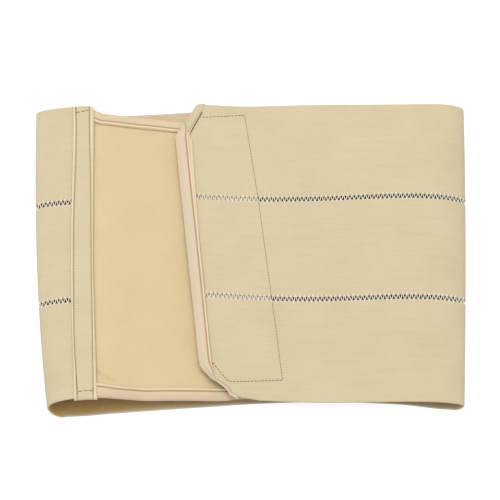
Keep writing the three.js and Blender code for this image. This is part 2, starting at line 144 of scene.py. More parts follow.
def rounded(distance: Values, radius: float, least: float = 0.15) -> Values:
    """Returns the share of full thickness at a distance from a rounded edge.

    The quarter circle sqrt(1 - (1 - distance / radius)^2), held above the least share.

    Args:
        distance: Distance from the edge.
        radius: Radius of the rounding.
        least: Share at the very edge, so that the two faces stay apart.

    Returns:
        The share, of the same shape as the distance.
    """
    inside = np.clip(np.asarray(distance) / radius, 0, 1)
    return np.maximum(np.sqrt(np.maximum(0, 1 - (1 - inside) ** 2)), least)


@dataclass(frozen=True)
class Band:
    """The middle surface of the band and the outlines on it."""

    web_height: float = 73.6
    openwork_height: float = 3.4
    clearance: float = 0.3
    web_thickness: float = 1.6
    panel_thickness: float = 2.6
    hook_thickness: float = 1.2
    tape_thickness: float = 1.0
    ridge_height: float = 0.6
    loop_length: float = 308
    left_rise: float = 23.5
    right_rise: float = 18.6
    right_bend: float = 39
    left_foot: float = 12
    right_foot: float = 8
    back_drift: float = 7.2
    strip_from_turn: float = 34.2
    strip_width: float = 16.2
    strip_lean: float = 8
    panel_length: float = 148
    panel_lift: float = 8.2
    panel_slope: float = 36
    tip_from_turn: float = 97.6
    tip_lean: float = 22.5
    tip_levels: tuple = (114.4, 87.9, 45, 18, -5, -27, -50, -84, -90, -93, -99.5, -102.5, -109,
                         -112.2, -114.4)
    tip_runs: tuple = (17.4, 0, 0.1, 0.4, 0.5, 0.8, 1.1, 1.3, 1.8, 3.6, 9.2, 12.6, 18.8, 20.2, 24.0)
    overlap_lift: float = 12.4
    sag_start: float = 0.62
    sag_share: float = 0.92
    sight_lean: float = 0.445
    slope_step: float = 0.002
    sag_end: float = 0.97
    panel_below: float = 0.89
    corner_rise: float = 1.9
    corner_run: float = 6.86
    corner_run_width: float = 0.11
    corner_level: float = 97
    corner_level_width: float = 10
    panel_top_inset: float = 6.8
    panel_top_slope: float = 8.3
    panel_low_inset: float = 0.6
    panel_low_slope: float = 3.5

    @property
    def height(self) -> float:
        """Height of the whole band."""
        return 3 * self.web_height + 2 * self.openwork_height + 4 * self.clearance

    @property
    def half(self) -> float:
        """Half the height of the band, which is the level of its upper edge."""
        return self.height / 2

    @property
    def left_turn(self) -> float:
        """X of the left turn at the upper edge."""
        return -self.loop_length / 2

    @property
    def hidden_end(self) -> float:
        """X of the hidden end of the landing panel."""
        return self.left_turn + self.strip_from_turn + self.strip_lean / 2 + self.panel_length

    @property
    def face(self) -> float:
        """Depth of the outer face of the elastic."""
        return self.web_thickness / 2

    @property
    def tape_under(self) -> float:
        """Depth of the underside of a tape on the outer face."""
        return self.face + self.clearance

    @property
    def tape_over(self) -> float:
        """Depth of the face of a tape on the outer face."""
        return self.tape_under + self.tape_thickness

    @property
    def panel_under(self) -> float:
        """Depth of the underside of the landing panel."""
        return self.face - self.panel_thickness

    @property
    def hook_under(self) -> float:
        """Depth of the underside of the hook tape."""
        return -self.face - self.clearance - self.hook_thickness

    @property
    def edge_inset(self) -> float:
        """Inset of a cloth inside the tape folded round its edge."""
        return self.tape_thickness + self.clearance

    @property
    def panel_rest(self) -> float:
        """Lowest stand of the landing panel over the back."""
        return self.web_thickness + self.clearance - self.panel_under + self.edge_inset

    @property
    def overlap_rest(self) -> float:
        """Lowest stand of the overlapping layer over the landing panel."""
        below = self.tape_over + self.ridge_height + self.clearance
        return self.panel_rest + below - self.hook_under

    def column(self, name: str, level: Values) -> Values:
        """Works out a column of the sections at a level, on the cubic through its four values.

        Args:
            name: Name of the column.
            level: Levels across the band.

        Returns:
            The column's shares at the levels.
        """
        across = np.asarray(level, float) / self.height
        total = np.zeros_like(across)
        for k, own in enumerate(SECTION_PLACES):
            others = np.delete(SECTION_PLACES, k)
            weight = np.prod([(across - other) / (own - other) for other in others], axis=0)
            total = total + weight * SECTIONS[name][k]
        return total

    def drift(self, run: np.ndarray) -> np.ndarray:
        """Works out the sideways drift at a run.

        Cubic pieces through the drift's shares, whose slopes follow the neighbouring rows.

        Args:
            run: Runs from 0 to 7.

        Returns:
            The drift in millimetres.
        """
        last = len(DRIFT_RUNS) - 1
        k = np.arange(last + 1)
        before, after = np.maximum(k - 1, 0), np.minimum(k + 1, last)
        slopes = (DRIFT_SHARES[after] - DRIFT_SHARES[before]) / (DRIFT_RUNS[after] - DRIFT_RUNS[before])
        i = np.clip(np.searchsorted(DRIFT_RUNS, run, "right") - 1, 0, last - 1)
        span = DRIFT_RUNS[i + 1] - DRIFT_RUNS[i]
        v = np.clip((run - DRIFT_RUNS[i]) / span, 0, 1)
        bend = span * v * (1 - v) * (slopes[i] * (1 - v) - slopes[i + 1] * v)
        value = mix(DRIFT_SHARES[i], DRIFT_SHARES[i + 1], smooth(v)) + bend
        inside = (run > DRIFT_RUNS[0]) & (run < DRIFT_RUNS[-1])
        return self.back_drift * np.where(inside, value, 0)

    def strip_x(self, level: Values) -> Values:
        """Returns the X of the joining strip's axis at a level."""
        return self.left_turn + self.strip_from_turn + self.strip_lean * (0.5 - level / self.height)

    def left_x(self, level: Values) -> Values:
        """Returns the X of the left turn at a level."""
        return self.left_turn * self.column("left_reach", level)

    def right_x(self, level: Values) -> Values:
        """Returns the X of the right turn at a level."""
        return -self.left_turn * self.column("right_reach", level)

    def crest_x(self, level: Values) -> Values:
        """Returns the X where the right shoulder meets the overlapping layer."""
        return self.right_x(level) - self.right_bend * self.column("right_bend", level)

    def tip_slant(self, level: Values) -> Values:
        """Returns the X of the slanted end of the overlapping layer, without its cut corners."""
        return self.left_turn + self.tip_from_turn + self.tip_lean * (0.5 - level / self.height)

    @property
    def tip(self) -> "Outline":
        """Outline of the end of the overlapping layer, from the upper to the lower edge.

        Returns:
            The outline, whose corners are the slanted end moved by the runs of the tip's table.
        """
        levels = np.array(self.tip_levels)
        x = self.tip_slant(levels) + np.array(self.tip_runs)
        return Outline(np.stack([x, levels], axis=1), np.array([1.0, 0.0]))

    def tip_x(self, level: Values, inset: float = 0) -> Values:
        """Returns the X of the overlapping layer's end, moved inwards by an inset."""
        points = self.tip.inset(inset)[::-1]
        return np.interp(level, points[:, 1], points[:, 0])

    def front_height(self, x: Values, level: Values) -> Values:
        """Works out the height of the front left of the strip: an ellipse up to a level top.

        Args:
            x: Places along the band.
            level: Levels across the band.

        Returns:
            The heights over the table.
        """
        side = self.column("left_side", level) * self.left_rise
        top = self.column("left_top", level) * self.left_rise
        left = self.left_x(level)
        bend = (self.strip_x(level) - left) * np.minimum(1, self.column("left_bend", level))
        away = np.clip((left + bend - x) / bend, 0, 1)
        return side + (top - side) * np.sqrt(1 - away * away)

    def panel_height(self, x: Values, level: Values) -> Values:
        """Works out the height of the landing panel: a slope beside the strip, then a slow fall.

        Args:
            x: Places along the band.
            level: Levels across the band.

        Returns:
            The heights over the table.
        """
        start = self.strip_x(level) + self.strip_width / 2
        top = self.column("left_top", level) * self.left_rise
        low = self.panel_rest + self.panel_lift * self.column("panel", level)
        out = (x - start - self.panel_slope) / (self.hidden_end - start - self.panel_slope)
        near = mix(top, low, smooth((x - start) / self.panel_slope))
        return np.where(x < start + self.panel_slope, near, mix(low, self.panel_rest, smooth(out)))

    def overlap_height(self, share: Values, level: Values) -> Values:
        """Works out the height of the overlapping layer: from the crest to a dip, then to its end.

        Args:
            share: Shares of the way from the crest to the end.
            level: Levels across the band.

        Returns:
            The heights over the table, before the end sags.
        """
        crest = self.column("right_top", level) * self.right_rise
        dip = self.overlap_rest + self.overlap_lift * self.column("dip", level)
        tip = self.overlap_rest + self.overlap_lift * self.column("tip", level)
        place = self.column("dip_place", level)
        near = mix(crest, dip, smooth(share / place))
        return np.where(share < place, near, mix(dip, tip, smooth((share - place) / (1 - place))))

    def sag(self, share: Values, level: Values) -> Values:
        """Works out how far the overlapping layer sinks towards the panel near its end.

        The free height is the tip's lift less the panel's lift below it.

        Args:
            share: Shares of the way from the crest to the end.
            level: Levels across the band.

        Returns:
            The depths by which the layer sinks.
        """
        below = self.panel_below * self.panel_lift * self.column("panel", level)
        free = self.overlap_lift * self.column("tip", level) - below
        sunk = smooth((share - self.sag_start) / (self.sag_end - self.sag_start))
        return self.sag_share * np.maximum(free, 0) * sunk

    def surface(self, run: Values, level: Values) -> np.ndarray:
        """Returns points of the middle surface.

        Feet and shoulders are quarter ellipses, the back is flat, and the fronts follow their
        height functions. The overlapping end sags and leans upwards in step with its sag.

        Args:
            run: Runs from 0 to 7.
            level: Levels across the band, of a shape that fits the runs.

        Returns:
            An array of the common shape with a last axis of X, Y and Z.
        """
        run, level = np.broadcast_arrays(np.asarray(run, float), np.asarray(level, float))
        stretch = np.clip(np.floor(run), 0, 6)
        share = run - stretch
        turn = share * math.pi / 2
        rest = self.web_thickness / 2
        strip, left, right = self.strip_x(level), self.left_x(level), self.right_x(level)
        crest = self.crest_x(level)
        left_foot = self.left_foot * self.column("left_foot", level)
        right_foot = self.right_foot * self.column("right_foot", level)
        left_side = self.column("left_side", level) * self.left_rise
        right_side = self.column("right_side", level) * self.right_rise
        right_top = self.column("right_top", level) * self.right_rise
        panel_x = mix(self.hidden_end, strip, share)
        front_x = strip - (strip - left) * np.sin(turn)
        at = [stretch == layer.value for layer in Layer]
        sag = np.where(at[6], self.sag(share, level), 0)
        x = np.select(at, [
            panel_x,
            front_x,
            left + left_foot * (1 - np.cos(turn)),
            mix(left + left_foot, right - right_foot, share),
            right - right_foot * (1 - np.sin(turn)),
            right - (right - crest) * (1 - np.cos(turn)),
            mix(crest, self.tip_x(level), share),
        ])
        z = np.select(at, [
            self.panel_height(panel_x, level),
            self.front_height(front_x, level),
            left_side - (left_side - rest) * np.sin(turn),
            np.full_like(run, rest),
            right_side - (right_side - rest) * np.cos(turn),
            right_side + (right_top - right_side) * np.sin(turn),
            self.overlap_height(share, level),
        ])
        across = level / self.height
        corner = smooth((run - self.corner_run) / self.corner_run_width)
        corner = corner * smooth((-level - self.corner_level) / self.corner_level_width)
        low = waves(LOW_WAVES, run) + self.corner_rise * corner
        y = level + mix(low, waves(HIGH_WAVES, run), 0.5 + across) + self.drift(run) + self.sight_lean * sag
        return np.stack([x, y, z - sag], axis=-1)

    def at(self, run: Values, level: Values, depth: Values) -> np.ndarray:
        """Works out points at a depth along the outward normal of the middle surface.

        The normal is the cross product of the slopes across and along the band.

        Args:
            run: Runs from 0 to 7.
            level: Levels across the band.
            depth: Depths, positive outwards.

        Returns:
            An array of the common shape with a last axis of X, Y and Z.
        """
        step = self.slope_step
        along = self.surface(run + step, level) - self.surface(run - step, level)
        across = self.surface(run, level + step) - self.surface(run, level - step)
        normal = np.cross(across, along)
        normal /= np.linalg.norm(normal, axis=-1, keepdims=True)
        return self.surface(run, level) + normal * np.asarray(depth)[..., None]

    def front_run(self, x: Values, level: Values) -> Values:
        """Works out the run at which the panel or the front left reaches an X.

        Args:
            x: Places along the band.
            level: Levels across the band.

        Returns:
            The runs, from 0 to 2.
        """
        strip = self.strip_x(level)
        sine = np.clip((strip - x) / (strip - self.left_x(level)), 0, 1)
        return np.where(x >= strip, (self.hidden_end - x) / (self.hidden_end - strip),
                        1 + np.arcsin(sine) * 2 / math.pi)

    def overlap_run(self, x: Values, level: Values) -> Values:
        """Returns the run at which the overlapping layer reaches an X."""
        crest = self.crest_x(level)
        return 6 + (x - crest) / (self.tip_x(level) - crest)

    def panel_top(self, share: Values) -> Values:
        """Returns the upper edge of the landing panel at a share of its way to the strip."""
        inset = self.panel_top_inset + self.panel_top_slope * (1 - share)
        return self.half - inset + steps(PANEL_TOP_STEPS, share)

    def panel_low(self, share: Values) -> Values:
        """Returns the lower edge of the landing panel at a share of its way to the strip."""
        inset = self.panel_low_inset + self.panel_low_slope * (1 - share)
        return inset + steps(PANEL_LOW_STEPS, share) - self.half


@dataclass(frozen=True)
class Outline:
    """An open outline of corners on the band, with the direction in which each insets."""

    corners: np.ndarray
    end_direction: np.ndarray

    @property
    def moves(self) -> np.ndarray:
        """How far each corner moves for an inset of one.

        At a corner the two sides' normals are added and divided by 1 + their dot product, and
        the two ends slide along the end direction.

        Returns:
            A row of X and level for each corner.
        """
        along = np.diff(self.corners, axis=0)
        along /= np.linalg.norm(along, axis=1, keepdims=True)
        normal = np.stack([-along[:, 1], along[:, 0]], axis=1)
        inner = (normal[:-1] + normal[1:]) / (1 + (normal[:-1] * normal[1:]).sum(1, keepdims=True))
        first = self.end_direction / (self.end_direction @ normal[0])
        last = self.end_direction / (self.end_direction @ normal[-1])
        return np.vstack([first, inner, last])

    def inset(self, width: float) -> np.ndarray:
        """Returns the corners moved inwards by a width."""
        return self.corners + self.moves * width

    def stations(self, spacing: float, first: float = 0,
                 last: float = math.inf) -> tuple[np.ndarray, np.ndarray, np.ndarray]:
        """Walks along the outline.

        Args:
            spacing: Largest step between two stations.
            first: Corner number to start from, whose fraction is a share of a side.
            last: Corner number to end at.

        Returns:
            Places, moves and the corner number of each station, which grows from corner to corner.
        """
        corners, moves = self.corners, self.moves
        last = min(last, len(corners) - 1)
        lengths = np.linalg.norm(np.diff(corners, axis=0), axis=1)
        at = [k + np.linspace(0, 1, max(2, math.ceil(size / spacing)) + 1)
              for k, size in enumerate(lengths)]
        number = np.unique(np.clip(np.concatenate(at), first, last).round(6))
        index = np.arange(len(corners))
        place = np.stack([np.interp(number, index, corners[:, c]) for c in (0, 1)], axis=1)
        move = np.stack([np.interp(number, index, moves[:, c]) for c in (0, 1)], axis=1)
        return place, move, number


BAND = Band()


def frame_shift() -> np.ndarray:
    """Works out the sideways shift from the band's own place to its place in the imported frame.

    The left turn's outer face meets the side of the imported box, and the band's extent in Y is
    centred on the box's.

    Returns:
        The shift in X, Y and Z.
    """
    run, level = np.meshgrid(np.linspace(1, 6.9, 237), np.linspace(-BAND.half, BAND.half, 93))
    y = BAND.at(run, level, np.full_like(run, BAND.face))[..., 1]
    box = np.array(CAD_BOX) / MM
    return np.array([box[0, 0] - BAND.left_turn + BAND.face,
                     box[:, 1].mean() - (y.min() + y.max()) / 2, 0])


SHIFT = frame_shift()


def make_object(name: str, points: np.ndarray, faces: Faces, material: bpy.types.Material,
                uv: np.ndarray | None = None,
                replaces: tuple = (), marks: dict | None = None) -> bpy.types.Object:
    """Makes a piece of the binder from points in millimetres and fixes it to the body.

    Args:
        name: Name of the piece.
        points: Points with X, Y and Z in the last axis.
        faces: Arrays of faces, each of one number of corners.
        material: Finish of the piece.
        uv: Place of each point on the cloth, in millimetres, for patterns that follow it.
        replaces: CAD nodes that the piece stands for.
        marks: Shares between 0 and 1 at each point of a painted highlight or painted shade,
        by the name of a mark of the finish.

    Returns:
        The new object.
    """
    co = (points.reshape(-1, 3) + SHIFT) * MM
    loops = np.concatenate([np.asarray(f).ravel() for f in faces])
    sizes = np.concatenate([np.full(len(f), np.asarray(f).shape[1]) for f in faces])
    starts = np.concatenate([[0], np.cumsum(sizes)[:-1]])
    mesh = bpy.data.meshes.new(name)
    mesh.vertices.add(len(co))
    mesh.vertices.foreach_set("co", co.astype(np.float32).ravel())
    mesh.loops.add(len(loops))
    mesh.loops.foreach_set("vertex_index", loops.astype(np.int32))
    mesh.polygons.add(len(sizes))
    mesh.polygons.foreach_set("loop_start", starts.astype(np.int32))
    mesh.polygons.foreach_set("use_smooth", np.ones(len(sizes), bool))
    mesh.update(calc_edges=True)
    if uv is not None:
        layer = mesh.uv_layers.new(name="cloth")
        layer.data.foreach_set("uv", (uv.reshape(-1, 2)[loops] * MM).astype(np.float32).ravel())
    for key, values in (marks or {}).items():
        mark = mesh.attributes.new(key, "FLOAT", "POINT")
        mark.data.foreach_set("value", np.asarray(values, np.float32).ravel())
    mesh.validate()
    mesh.materials.append(material)
    piece = bpy.data.objects.new(name, mesh)
    bpy.context.scene.collection.objects.link(piece)
    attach(piece, BODY)
    if replaces:
        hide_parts(*replaces)
    LOG.info("%s: %d points, %d faces", name, len(co), len(sizes))
    return piece


def tube_faces(stations: int, ring: int) -> np.ndarray:
    """Works out the quads of a closed ring carried along stations, with faces outwards.

    Args:
        stations: Number of rings.
        ring: Number of points in a ring.

    Returns:
        A row of four point numbers for each quad.
    """
    i, k = np.meshgrid(np.arange(stations - 1), np.arange(ring), indexing="ij")
    a, b = i * ring + k, i * ring + (k + 1) % ring
    return np.stack([a, b, b + ring, a + ring], axis=-1).reshape(-1, 4)


def both_faces(values: np.ndarray) -> np.ndarray:
    """Returns values round a plate's rings: along its outer face, then back along its inner."""
    return np.concatenate([values, values[:, ::-1]], axis=1)


def plate(run: np.ndarray, level: np.ndarray, under: np.ndarray,
          over: np.ndarray) -> tuple[np.ndarray, Faces]:
    """Works out a closed cloth between two depths.

    The two faces are the band's surface at the depths over and under. They form one ring per
    station, so a row of faces closes each side, and a strip of faces closes each end.

    Args:
        run: Runs, one row for each station along the cloth and one column for each level.
        level: Levels of the same shape.
        under: Depths of the inner face.
        over: Depths of the outer face.

    Returns:
        The points, with a row for each station, and the list of face arrays.
    """
    ring = np.concatenate([BAND.at(run, level, over), BAND.at(run, level, under)[:, ::-1]], axis=1)
    stations, size = ring.shape[:2]
    sides = tube_faces(stations, size)
    k = np.arange(size // 2 - 1)
    cap = np.stack([k, size - 1 - k, size - 2 - k, k + 1], axis=1)
    last = (stations - 1) * size + cap[:, ::-1]
    return ring, [sides, np.concatenate([cap, last])]


def along_band(run: np.ndarray, level: np.ndarray) -> np.ndarray:
    """Works out the length along the band from the first station, as sums of straight lines.

    Args:
        run: Runs, one row for each station.
        level: Levels of the same shape.

    Returns:
        The lengths, of the same shape.
    """
    points = BAND.surface(run, level)
    sides = np.linalg.norm(np.diff(points, axis=0), axis=-1)
    return np.concatenate([np.zeros((1, *sides.shape[1:])), np.cumsum(sides, axis=0)])


def tubes(centres: np.ndarray, radii: np.ndarray, up: np.ndarray,
          sides: int) -> tuple[np.ndarray, Faces]:
    """Works out many closed round tubes at once.

    Each tube is a ring of sides carried along its centres: the ring's axes are the cross
    products of the tube's direction with the given up direction.

    Args:
        centres: Points with axes tube, station and coordinate.
        radii: Radius at each tube and station.
        up: A direction away from the cloth for each tube and station.
        sides: Number of sides of a ring.

    Returns:
        The points and the list of face arrays.
    """
    count, stations = centres.shape[:2]
    along = np.gradient(centres, axis=1)
    along /= np.linalg.norm(along, axis=-1, keepdims=True)
    side = np.cross(along, up)
    side /= np.linalg.norm(side, axis=-1, keepdims=True)
    top = np.cross(side, along)
    angle = np.arange(sides) * 2 * math.pi / sides
    ring = (side[:, :, None] * np.cos(angle)[None, None, :, None]
            + top[:, :, None] * np.sin(angle)[None, None, :, None])
    points = centres[:, :, None] + ring * radii[:, :, None, None]
    one = tube_faces(stations, sides)[:, ::-1]
    caps = np.stack([np.arange(sides), (stations - 1) * sides + np.arange(sides)[::-1]])
    offset = np.arange(count)[:, None, None] * stations * sides
    return points, [(one[None] + offset).reshape(-1, 4), (caps[None] + offset).reshape(-1, sides)]


class Graph:
    """Adds nodes to a node tree and joins them."""

    def __init__(self, tree: bpy.types.NodeTree) -> None:
        """Keeps the tree, emptied."""
        self.tree = tree
        tree.nodes.clear()

    def add(self, kind: str, inputs: dict | None = None, **settings: object) -> bpy.types.Node:
        """Adds a node.

        Args:
            kind: Node type without its ShaderNode prefix, or a full type name.
            inputs: Values or sockets by input name or number.
            **settings: Properties of the node.

        Returns:
            The node.
        """
        full = kind if kind.startswith("Node") else "ShaderNode" + kind
        node = self.tree.nodes.new(full)
        for key, value in settings.items():
            setattr(node, key, value)
        for key, value in (inputs or {}).items():
            if isinstance(value, Socket):
                self.tree.links.new(value, node.inputs[key])
            else:
                node.inputs[key].default_value = value
        return node

    def math(self, operation: str, *values: float | Socket) -> Socket:
        """Returns the result of a Math node on values or sockets."""
        return self.add("Math", dict(enumerate(values)), operation=operation).outputs[0]

    def wave(self, place: Socket, pitch: float | Socket) -> Socket:
        """Adds a wave from 0 to 1 with a given pitch: 0.5 + 0.5 cos(2 pi place / pitch).

        Args:
            place: Place along the wave.
            pitch: Length of one wave.

        Returns:
            The wave's value.
        """
        turns = self.math("DIVIDE", place, pitch)
        cosine = self.math("COSINE", self.math("MULTIPLY", turns, 2 * math.pi))
        return self.math("MULTIPLY_ADD", cosine, 0.5, 0.5)

    def scaled(self, value: Socket, low: float, high: float) -> Socket:
        """Returns a value between 0 and 1 spread between low and high."""
        return self.math("MULTIPLY_ADD", value, high - low, low)


def make_group(name: str, inputs: tuple, outputs: tuple) -> tuple[bpy.types.NodeTree, Graph, dict]:
    """Starts a shader node group.

    Args:
        name: Name of the group.
        inputs: Pairs of socket name and default value; a default of None is a vector.
        outputs: Names of the value outputs.

    Returns:
        The group, a graph on it, and its input sockets by name.
    """
    group = bpy.data.node_groups.new(name, "ShaderNodeTree")
    for socket, value in inputs:
        kind = "NodeSocketVector" if value is None else "NodeSocketFloat"
        item = group.interface.new_socket(socket, in_out="INPUT", socket_type=kind)
        if value is not None:
            item.default_value = value
    for socket in outputs:
        group.interface.new_socket(socket, in_out="OUTPUT", socket_type="NodeSocketFloat")
    graph = Graph(group)
    entry = graph.add("NodeGroupInput")
    return group, graph, {socket.name: socket for socket in entry.outputs if socket.name}


def woven_ribs() -> bpy.types.NodeTree:
    """Makes the group for ribbed cloth.

    Ribs are waves across the cloth, picks are waves along it that step half a pitch from rib to
    rib, and fibres are fine noise drawn out along the ribs.

    Returns:
        The group.
    """
    group, graph, given = make_group(
        "woven_ribs", (("Place", None), ("Rib Pitch", 0.0012), ("Pick Pitch", 0.0009)),
        ("Height", "Shade"))
    place = graph.add("SeparateXYZ", {0: given["Place"]}).outputs
    rib = graph.wave(place["Y"], given["Rib Pitch"])
    row = graph.math("FLOOR", graph.math("DIVIDE", place["Y"], given["Rib Pitch"]))
    offset = graph.math("MULTIPLY", graph.math("MODULO", row, 2.0),
                        graph.math("MULTIPLY", given["Pick Pitch"], 0.5))
    pick = graph.wave(graph.math("ADD", place["X"], offset), given["Pick Pitch"])
    drawn = graph.add("Mapping", {"Vector": given["Place"], "Scale": (0.16, 1, 1)})
    fibre = graph.add("TexNoise", {"Vector": drawn.outputs[0], "Scale": 1500.0, "Detail": 3.0})
    woven = graph.math("MULTIPLY_ADD", pick, 0.35, graph.math("MULTIPLY", rib, 0.65))
    height = graph.math("MULTIPLY_ADD", fibre.outputs[0], 0.35, woven)
    shade = graph.math("MULTIPLY_ADD", fibre.outputs[0], 0.4, graph.math("MULTIPLY", woven, 0.6))
    graph.add("NodeGroupOutput", {"Height": height, "Shade": shade})
    return group


def brushed_fuzz() -> bpy.types.NodeTree:
    """Makes the group for brushed pile: fine noise less the distance from scattered loops.

    Returns:
        The group.
    """
    group, graph, given = make_group("brushed_fuzz", (("Place", None), ("Size", 0.0006)),
                                     ("Height", "Shade"))
    scale = graph.math("DIVIDE", 1.0, given["Size"])
    fine = graph.add("TexNoise", {"Vector": given["Place"], "Scale": scale, "Detail": 4.0,
                                  "Roughness": 0.65})
    loops = graph.add("TexVoronoi", {"Vector": given["Place"],
                                     "Scale": graph.math("MULTIPLY", scale, 0.8)},
                      feature="SMOOTH_F1")
    height = graph.math("MULTIPLY_ADD", loops.outputs["Distance"], -0.6, fine.outputs[0])
    graph.add("NodeGroupOutput", {"Height": height, "Shade": fine.outputs[0]})
    return group


def cloth_mottle() -> bpy.types.NodeTree:
    """Makes the group for slow changes of colour: broad noise and faint streaks along the band.

    Returns:
        The group.
    """
    group, graph, given = make_group("cloth_mottle", (("Place", None), ("Patch", 0.03)),
                                     ("Broad", "Streak"))
    scale = graph.math("DIVIDE", 1.0, given["Patch"])
    broad = graph.add("TexNoise", {"Vector": given["Place"], "Scale": scale, "Detail": 3.0})
    drawn = graph.add("Mapping", {"Vector": given["Place"], "Scale": (0.08, 1, 1)})
    streak = graph.add("TexNoise", {"Vector": drawn.outputs[0],
                                    "Scale": graph.math("MULTIPLY", scale, 9.0), "Detail": 2.0})
    graph.add("NodeGroupOutput", {"Broad": broad.outputs[0], "Streak": streak.outputs[0]})
    return group


class Weave(Enum):
    """Kinds of cloth face, each with the group that draws it."""

    RIBBED = "woven_ribs"
    BRUSHED = "brushed_fuzz"


GROUPS = {tree.name: tree for tree in (woven_ribs(), brushed_fuzz(), cloth_mottle())}


@dataclass(frozen=True)
class ClothFinish:
    """A cloth's finish: its colours, its weave with the sizes that it repeats at, and its sheen."""

    name: str
    light: tuple
    dark: tuple
    weave: Weave
    pitches: dict
    marks: dict = field(default_factory=dict)
    mottle: float = 0.03
    streak: float = 0.02
    relief: float = 0.00012
    roughness: float = 0.9
    sheen: float = 0.15
    sheen_tint: tuple = (1.0, 0.95, 0.85, 1.0)
    strength: float = 0.5
    own_place: bool = True

    def material(self) -> bpy.types.Material:
        """Makes the material.

        The shade of the weave runs between the dark and the light colour, and the mesh's marks,
        which paint highlights and shade, lead from it to their own colours. Broad noise and
        streaks then change its value by a few hundredths, and the weave's height goes to a bump.

        Returns:
            The material.
        """
        material = bpy.data.materials.new(self.name)
        material.use_nodes = True
        graph = Graph(material.node_tree)
        if self.own_place:
            place = graph.add("UVMap", uv_map="cloth").outputs[0]
        else:
            place = graph.add("TexCoord").outputs["Object"]
        weave = graph.add("Group", node_tree=GROUPS[self.weave.value])
        mottle = graph.add("Group", node_tree=GROUPS["cloth_mottle"])
        for node in (weave, mottle):
            graph.tree.links.new(place, node.inputs["Place"])
        for key, value in self.pitches.items():
            weave.inputs[key].default_value = value
        shade = graph.add("MapRange", {0: weave.outputs["Shade"], 1: 0.25, 2: 0.75}).outputs[0]
        dyed = graph.add("Mix", {0: shade, 6: (*self.dark, 1), 7: (*self.light, 1)},
                         data_type="RGBA").outputs[2]
        for mark, end in self.marks.items():
            share = graph.add("Attribute", attribute_name=mark).outputs["Fac"]
            dyed = graph.add("Mix", {0: share, 6: dyed, 7: (*end, 1)}, data_type="RGBA").outputs[2]
        broad = graph.scaled(mottle.outputs["Broad"], 1 - self.mottle * 2, 1 + self.mottle * 2)
        streak = graph.scaled(mottle.outputs["Streak"], 1 - self.streak * 2, 1 + self.streak * 2)
        value = graph.add("HueSaturation", {
            "Value": graph.math("MULTIPLY", broad, streak),
            "Saturation": graph.scaled(mottle.outputs["Broad"], 1.08, 0.92),
            "Color": dyed,
        })
        rough = graph.scaled(weave.outputs["Shade"], self.roughness + 0.05, self.roughness - 0.05)
        height = graph.math("MULTIPLY", weave.outputs["Height"], self.relief)
        relief = graph.add("Bump", {"Height": height, "Strength": self.strength, "Distance": 1.0})
        shader = graph.add("BsdfPrincipled", {
            "Base Color": value.outputs[0],
            "Roughness": rough,
            "Normal": relief.outputs[0],
            "Specular IOR Level": 0.25,
            "Sheen Weight": self.sheen,
            "Sheen Roughness": 0.5,
            "Sheen Tint": self.sheen_tint,
        })
        graph.add("OutputMaterial", {"Surface": shader.outputs[0]})
        return material


# Share of the light that cloth of a seen colour reflects in this studio
DYE = 0.76
RIB_PITCH = 1.2


def colour(red: int, green: int, blue: int) -> tuple:
    """Returns the linear dye of a seen 8-bit colour: dye ((c / 255 + 0.055) / 1.055)^2.4."""
    return tuple(DYE * ((c / 255 + 0.055) / 1.055) ** 2.4 for c in (red, green, blue))


def tape_finish(name: str, light: tuple, dark: tuple, ridge: tuple) -> ClothFinish:
    """Makes the finish of a fine ribbed binding tape.

    Args:
        name: Name of the material.
        light: Seen colour of its light threads.
        dark: Seen colour of its dark threads.
        ridge: Seen colour of the painted highlight on its ridge.

    Returns:
        The finish.
    """
    return ClothFinish(name, colour(*light), colour(*dark), Weave.RIBBED,
                       {"Rib Pitch": 0.7 * MM, "Pick Pitch": 0.6 * MM},
                       # The ridge mark is a painted highlight and the groove mark painted shade along the
                       # seam
                       marks={"ridge": colour(*ridge), "groove": colour(158, 124, 84)},
                       mottle=0.015, streak=0.01, relief=0.00006, sheen=0.2)


def thread_finish(name: str, light: tuple, dark: tuple, size: float) -> ClothFinish:
    """Returns the finish of a thread in its own seen colours, with fuzz of a size in metres."""
    return ClothFinish(name, colour(*light), colour(*dark), Weave.BRUSHED, {"Size": size},
                       own_place=False)


FINISHES = {
    "web": ClothFinish("ribbed_elastic", colour(218, 202, 168), colour(208, 192, 157),
                       Weave.RIBBED, {"Rib Pitch": RIB_PITCH * MM, "Pick Pitch": 0.9 * MM},
                       # ridge: painted highlight on raised ridges; groove: painted shade in grooves and
                       # seams
                       marks={"ridge": colour(232, 216, 180), "groove": colour(150, 122, 72),
                              # inside: warm painted shade inside the loop; rim: painted greyish light on
                              # the band's edges
                              "inside": colour(204, 160, 74), "rim": colour(214, 206, 192)},
                       relief=0.00008),
    "thread": thread_finish("openwork_thread", (252, 243, 224), (238, 226, 200), 0.4 * MM),
    "pile": ClothFinish("brushed_pile", colour(222, 201, 158), colour(213, 190, 146),
                        Weave.BRUSHED, {"Size": 0.55 * MM},
                        # ridge: painted light towards the pad's edges; groove: painted shade along its seam
                        marks={"ridge": colour(228, 206, 168), "groove": colour(200, 168, 116)},
                        mottle=0.018, streak=0.006, relief=0.00022, roughness=0.95, sheen=0.3),
    "tape": tape_finish("binding_tape", (226, 207, 182), (216, 195, 167), (238, 216, 180)),
    "panel_tape": tape_finish("panel_binding_tape", (226, 204, 174), (216, 192, 160),
                              (238, 214, 176)),
    "hook": ClothFinish("hook_tape", colour(232, 222, 196), colour(206, 194, 162),
                        Weave.BRUSHED, {"Size": 0.9 * MM}, relief=0.0004, sheen=0.05),
    "stitch": thread_finish("stitching", (146, 124, 76), (108, 86, 44), 0.3 * MM),
    "pale_stitch": thread_finish("pale_stitching", (196, 166, 124), (168, 136, 94), 0.3 * MM),
}
MATERIALS = {name: finish.material() for name, finish in FINISHES.items()}


# Opening of the two openwork seams, and their levels
SEAM_OPEN = 3.8
SEAM_LEVELS = (-38.0, 38.4)


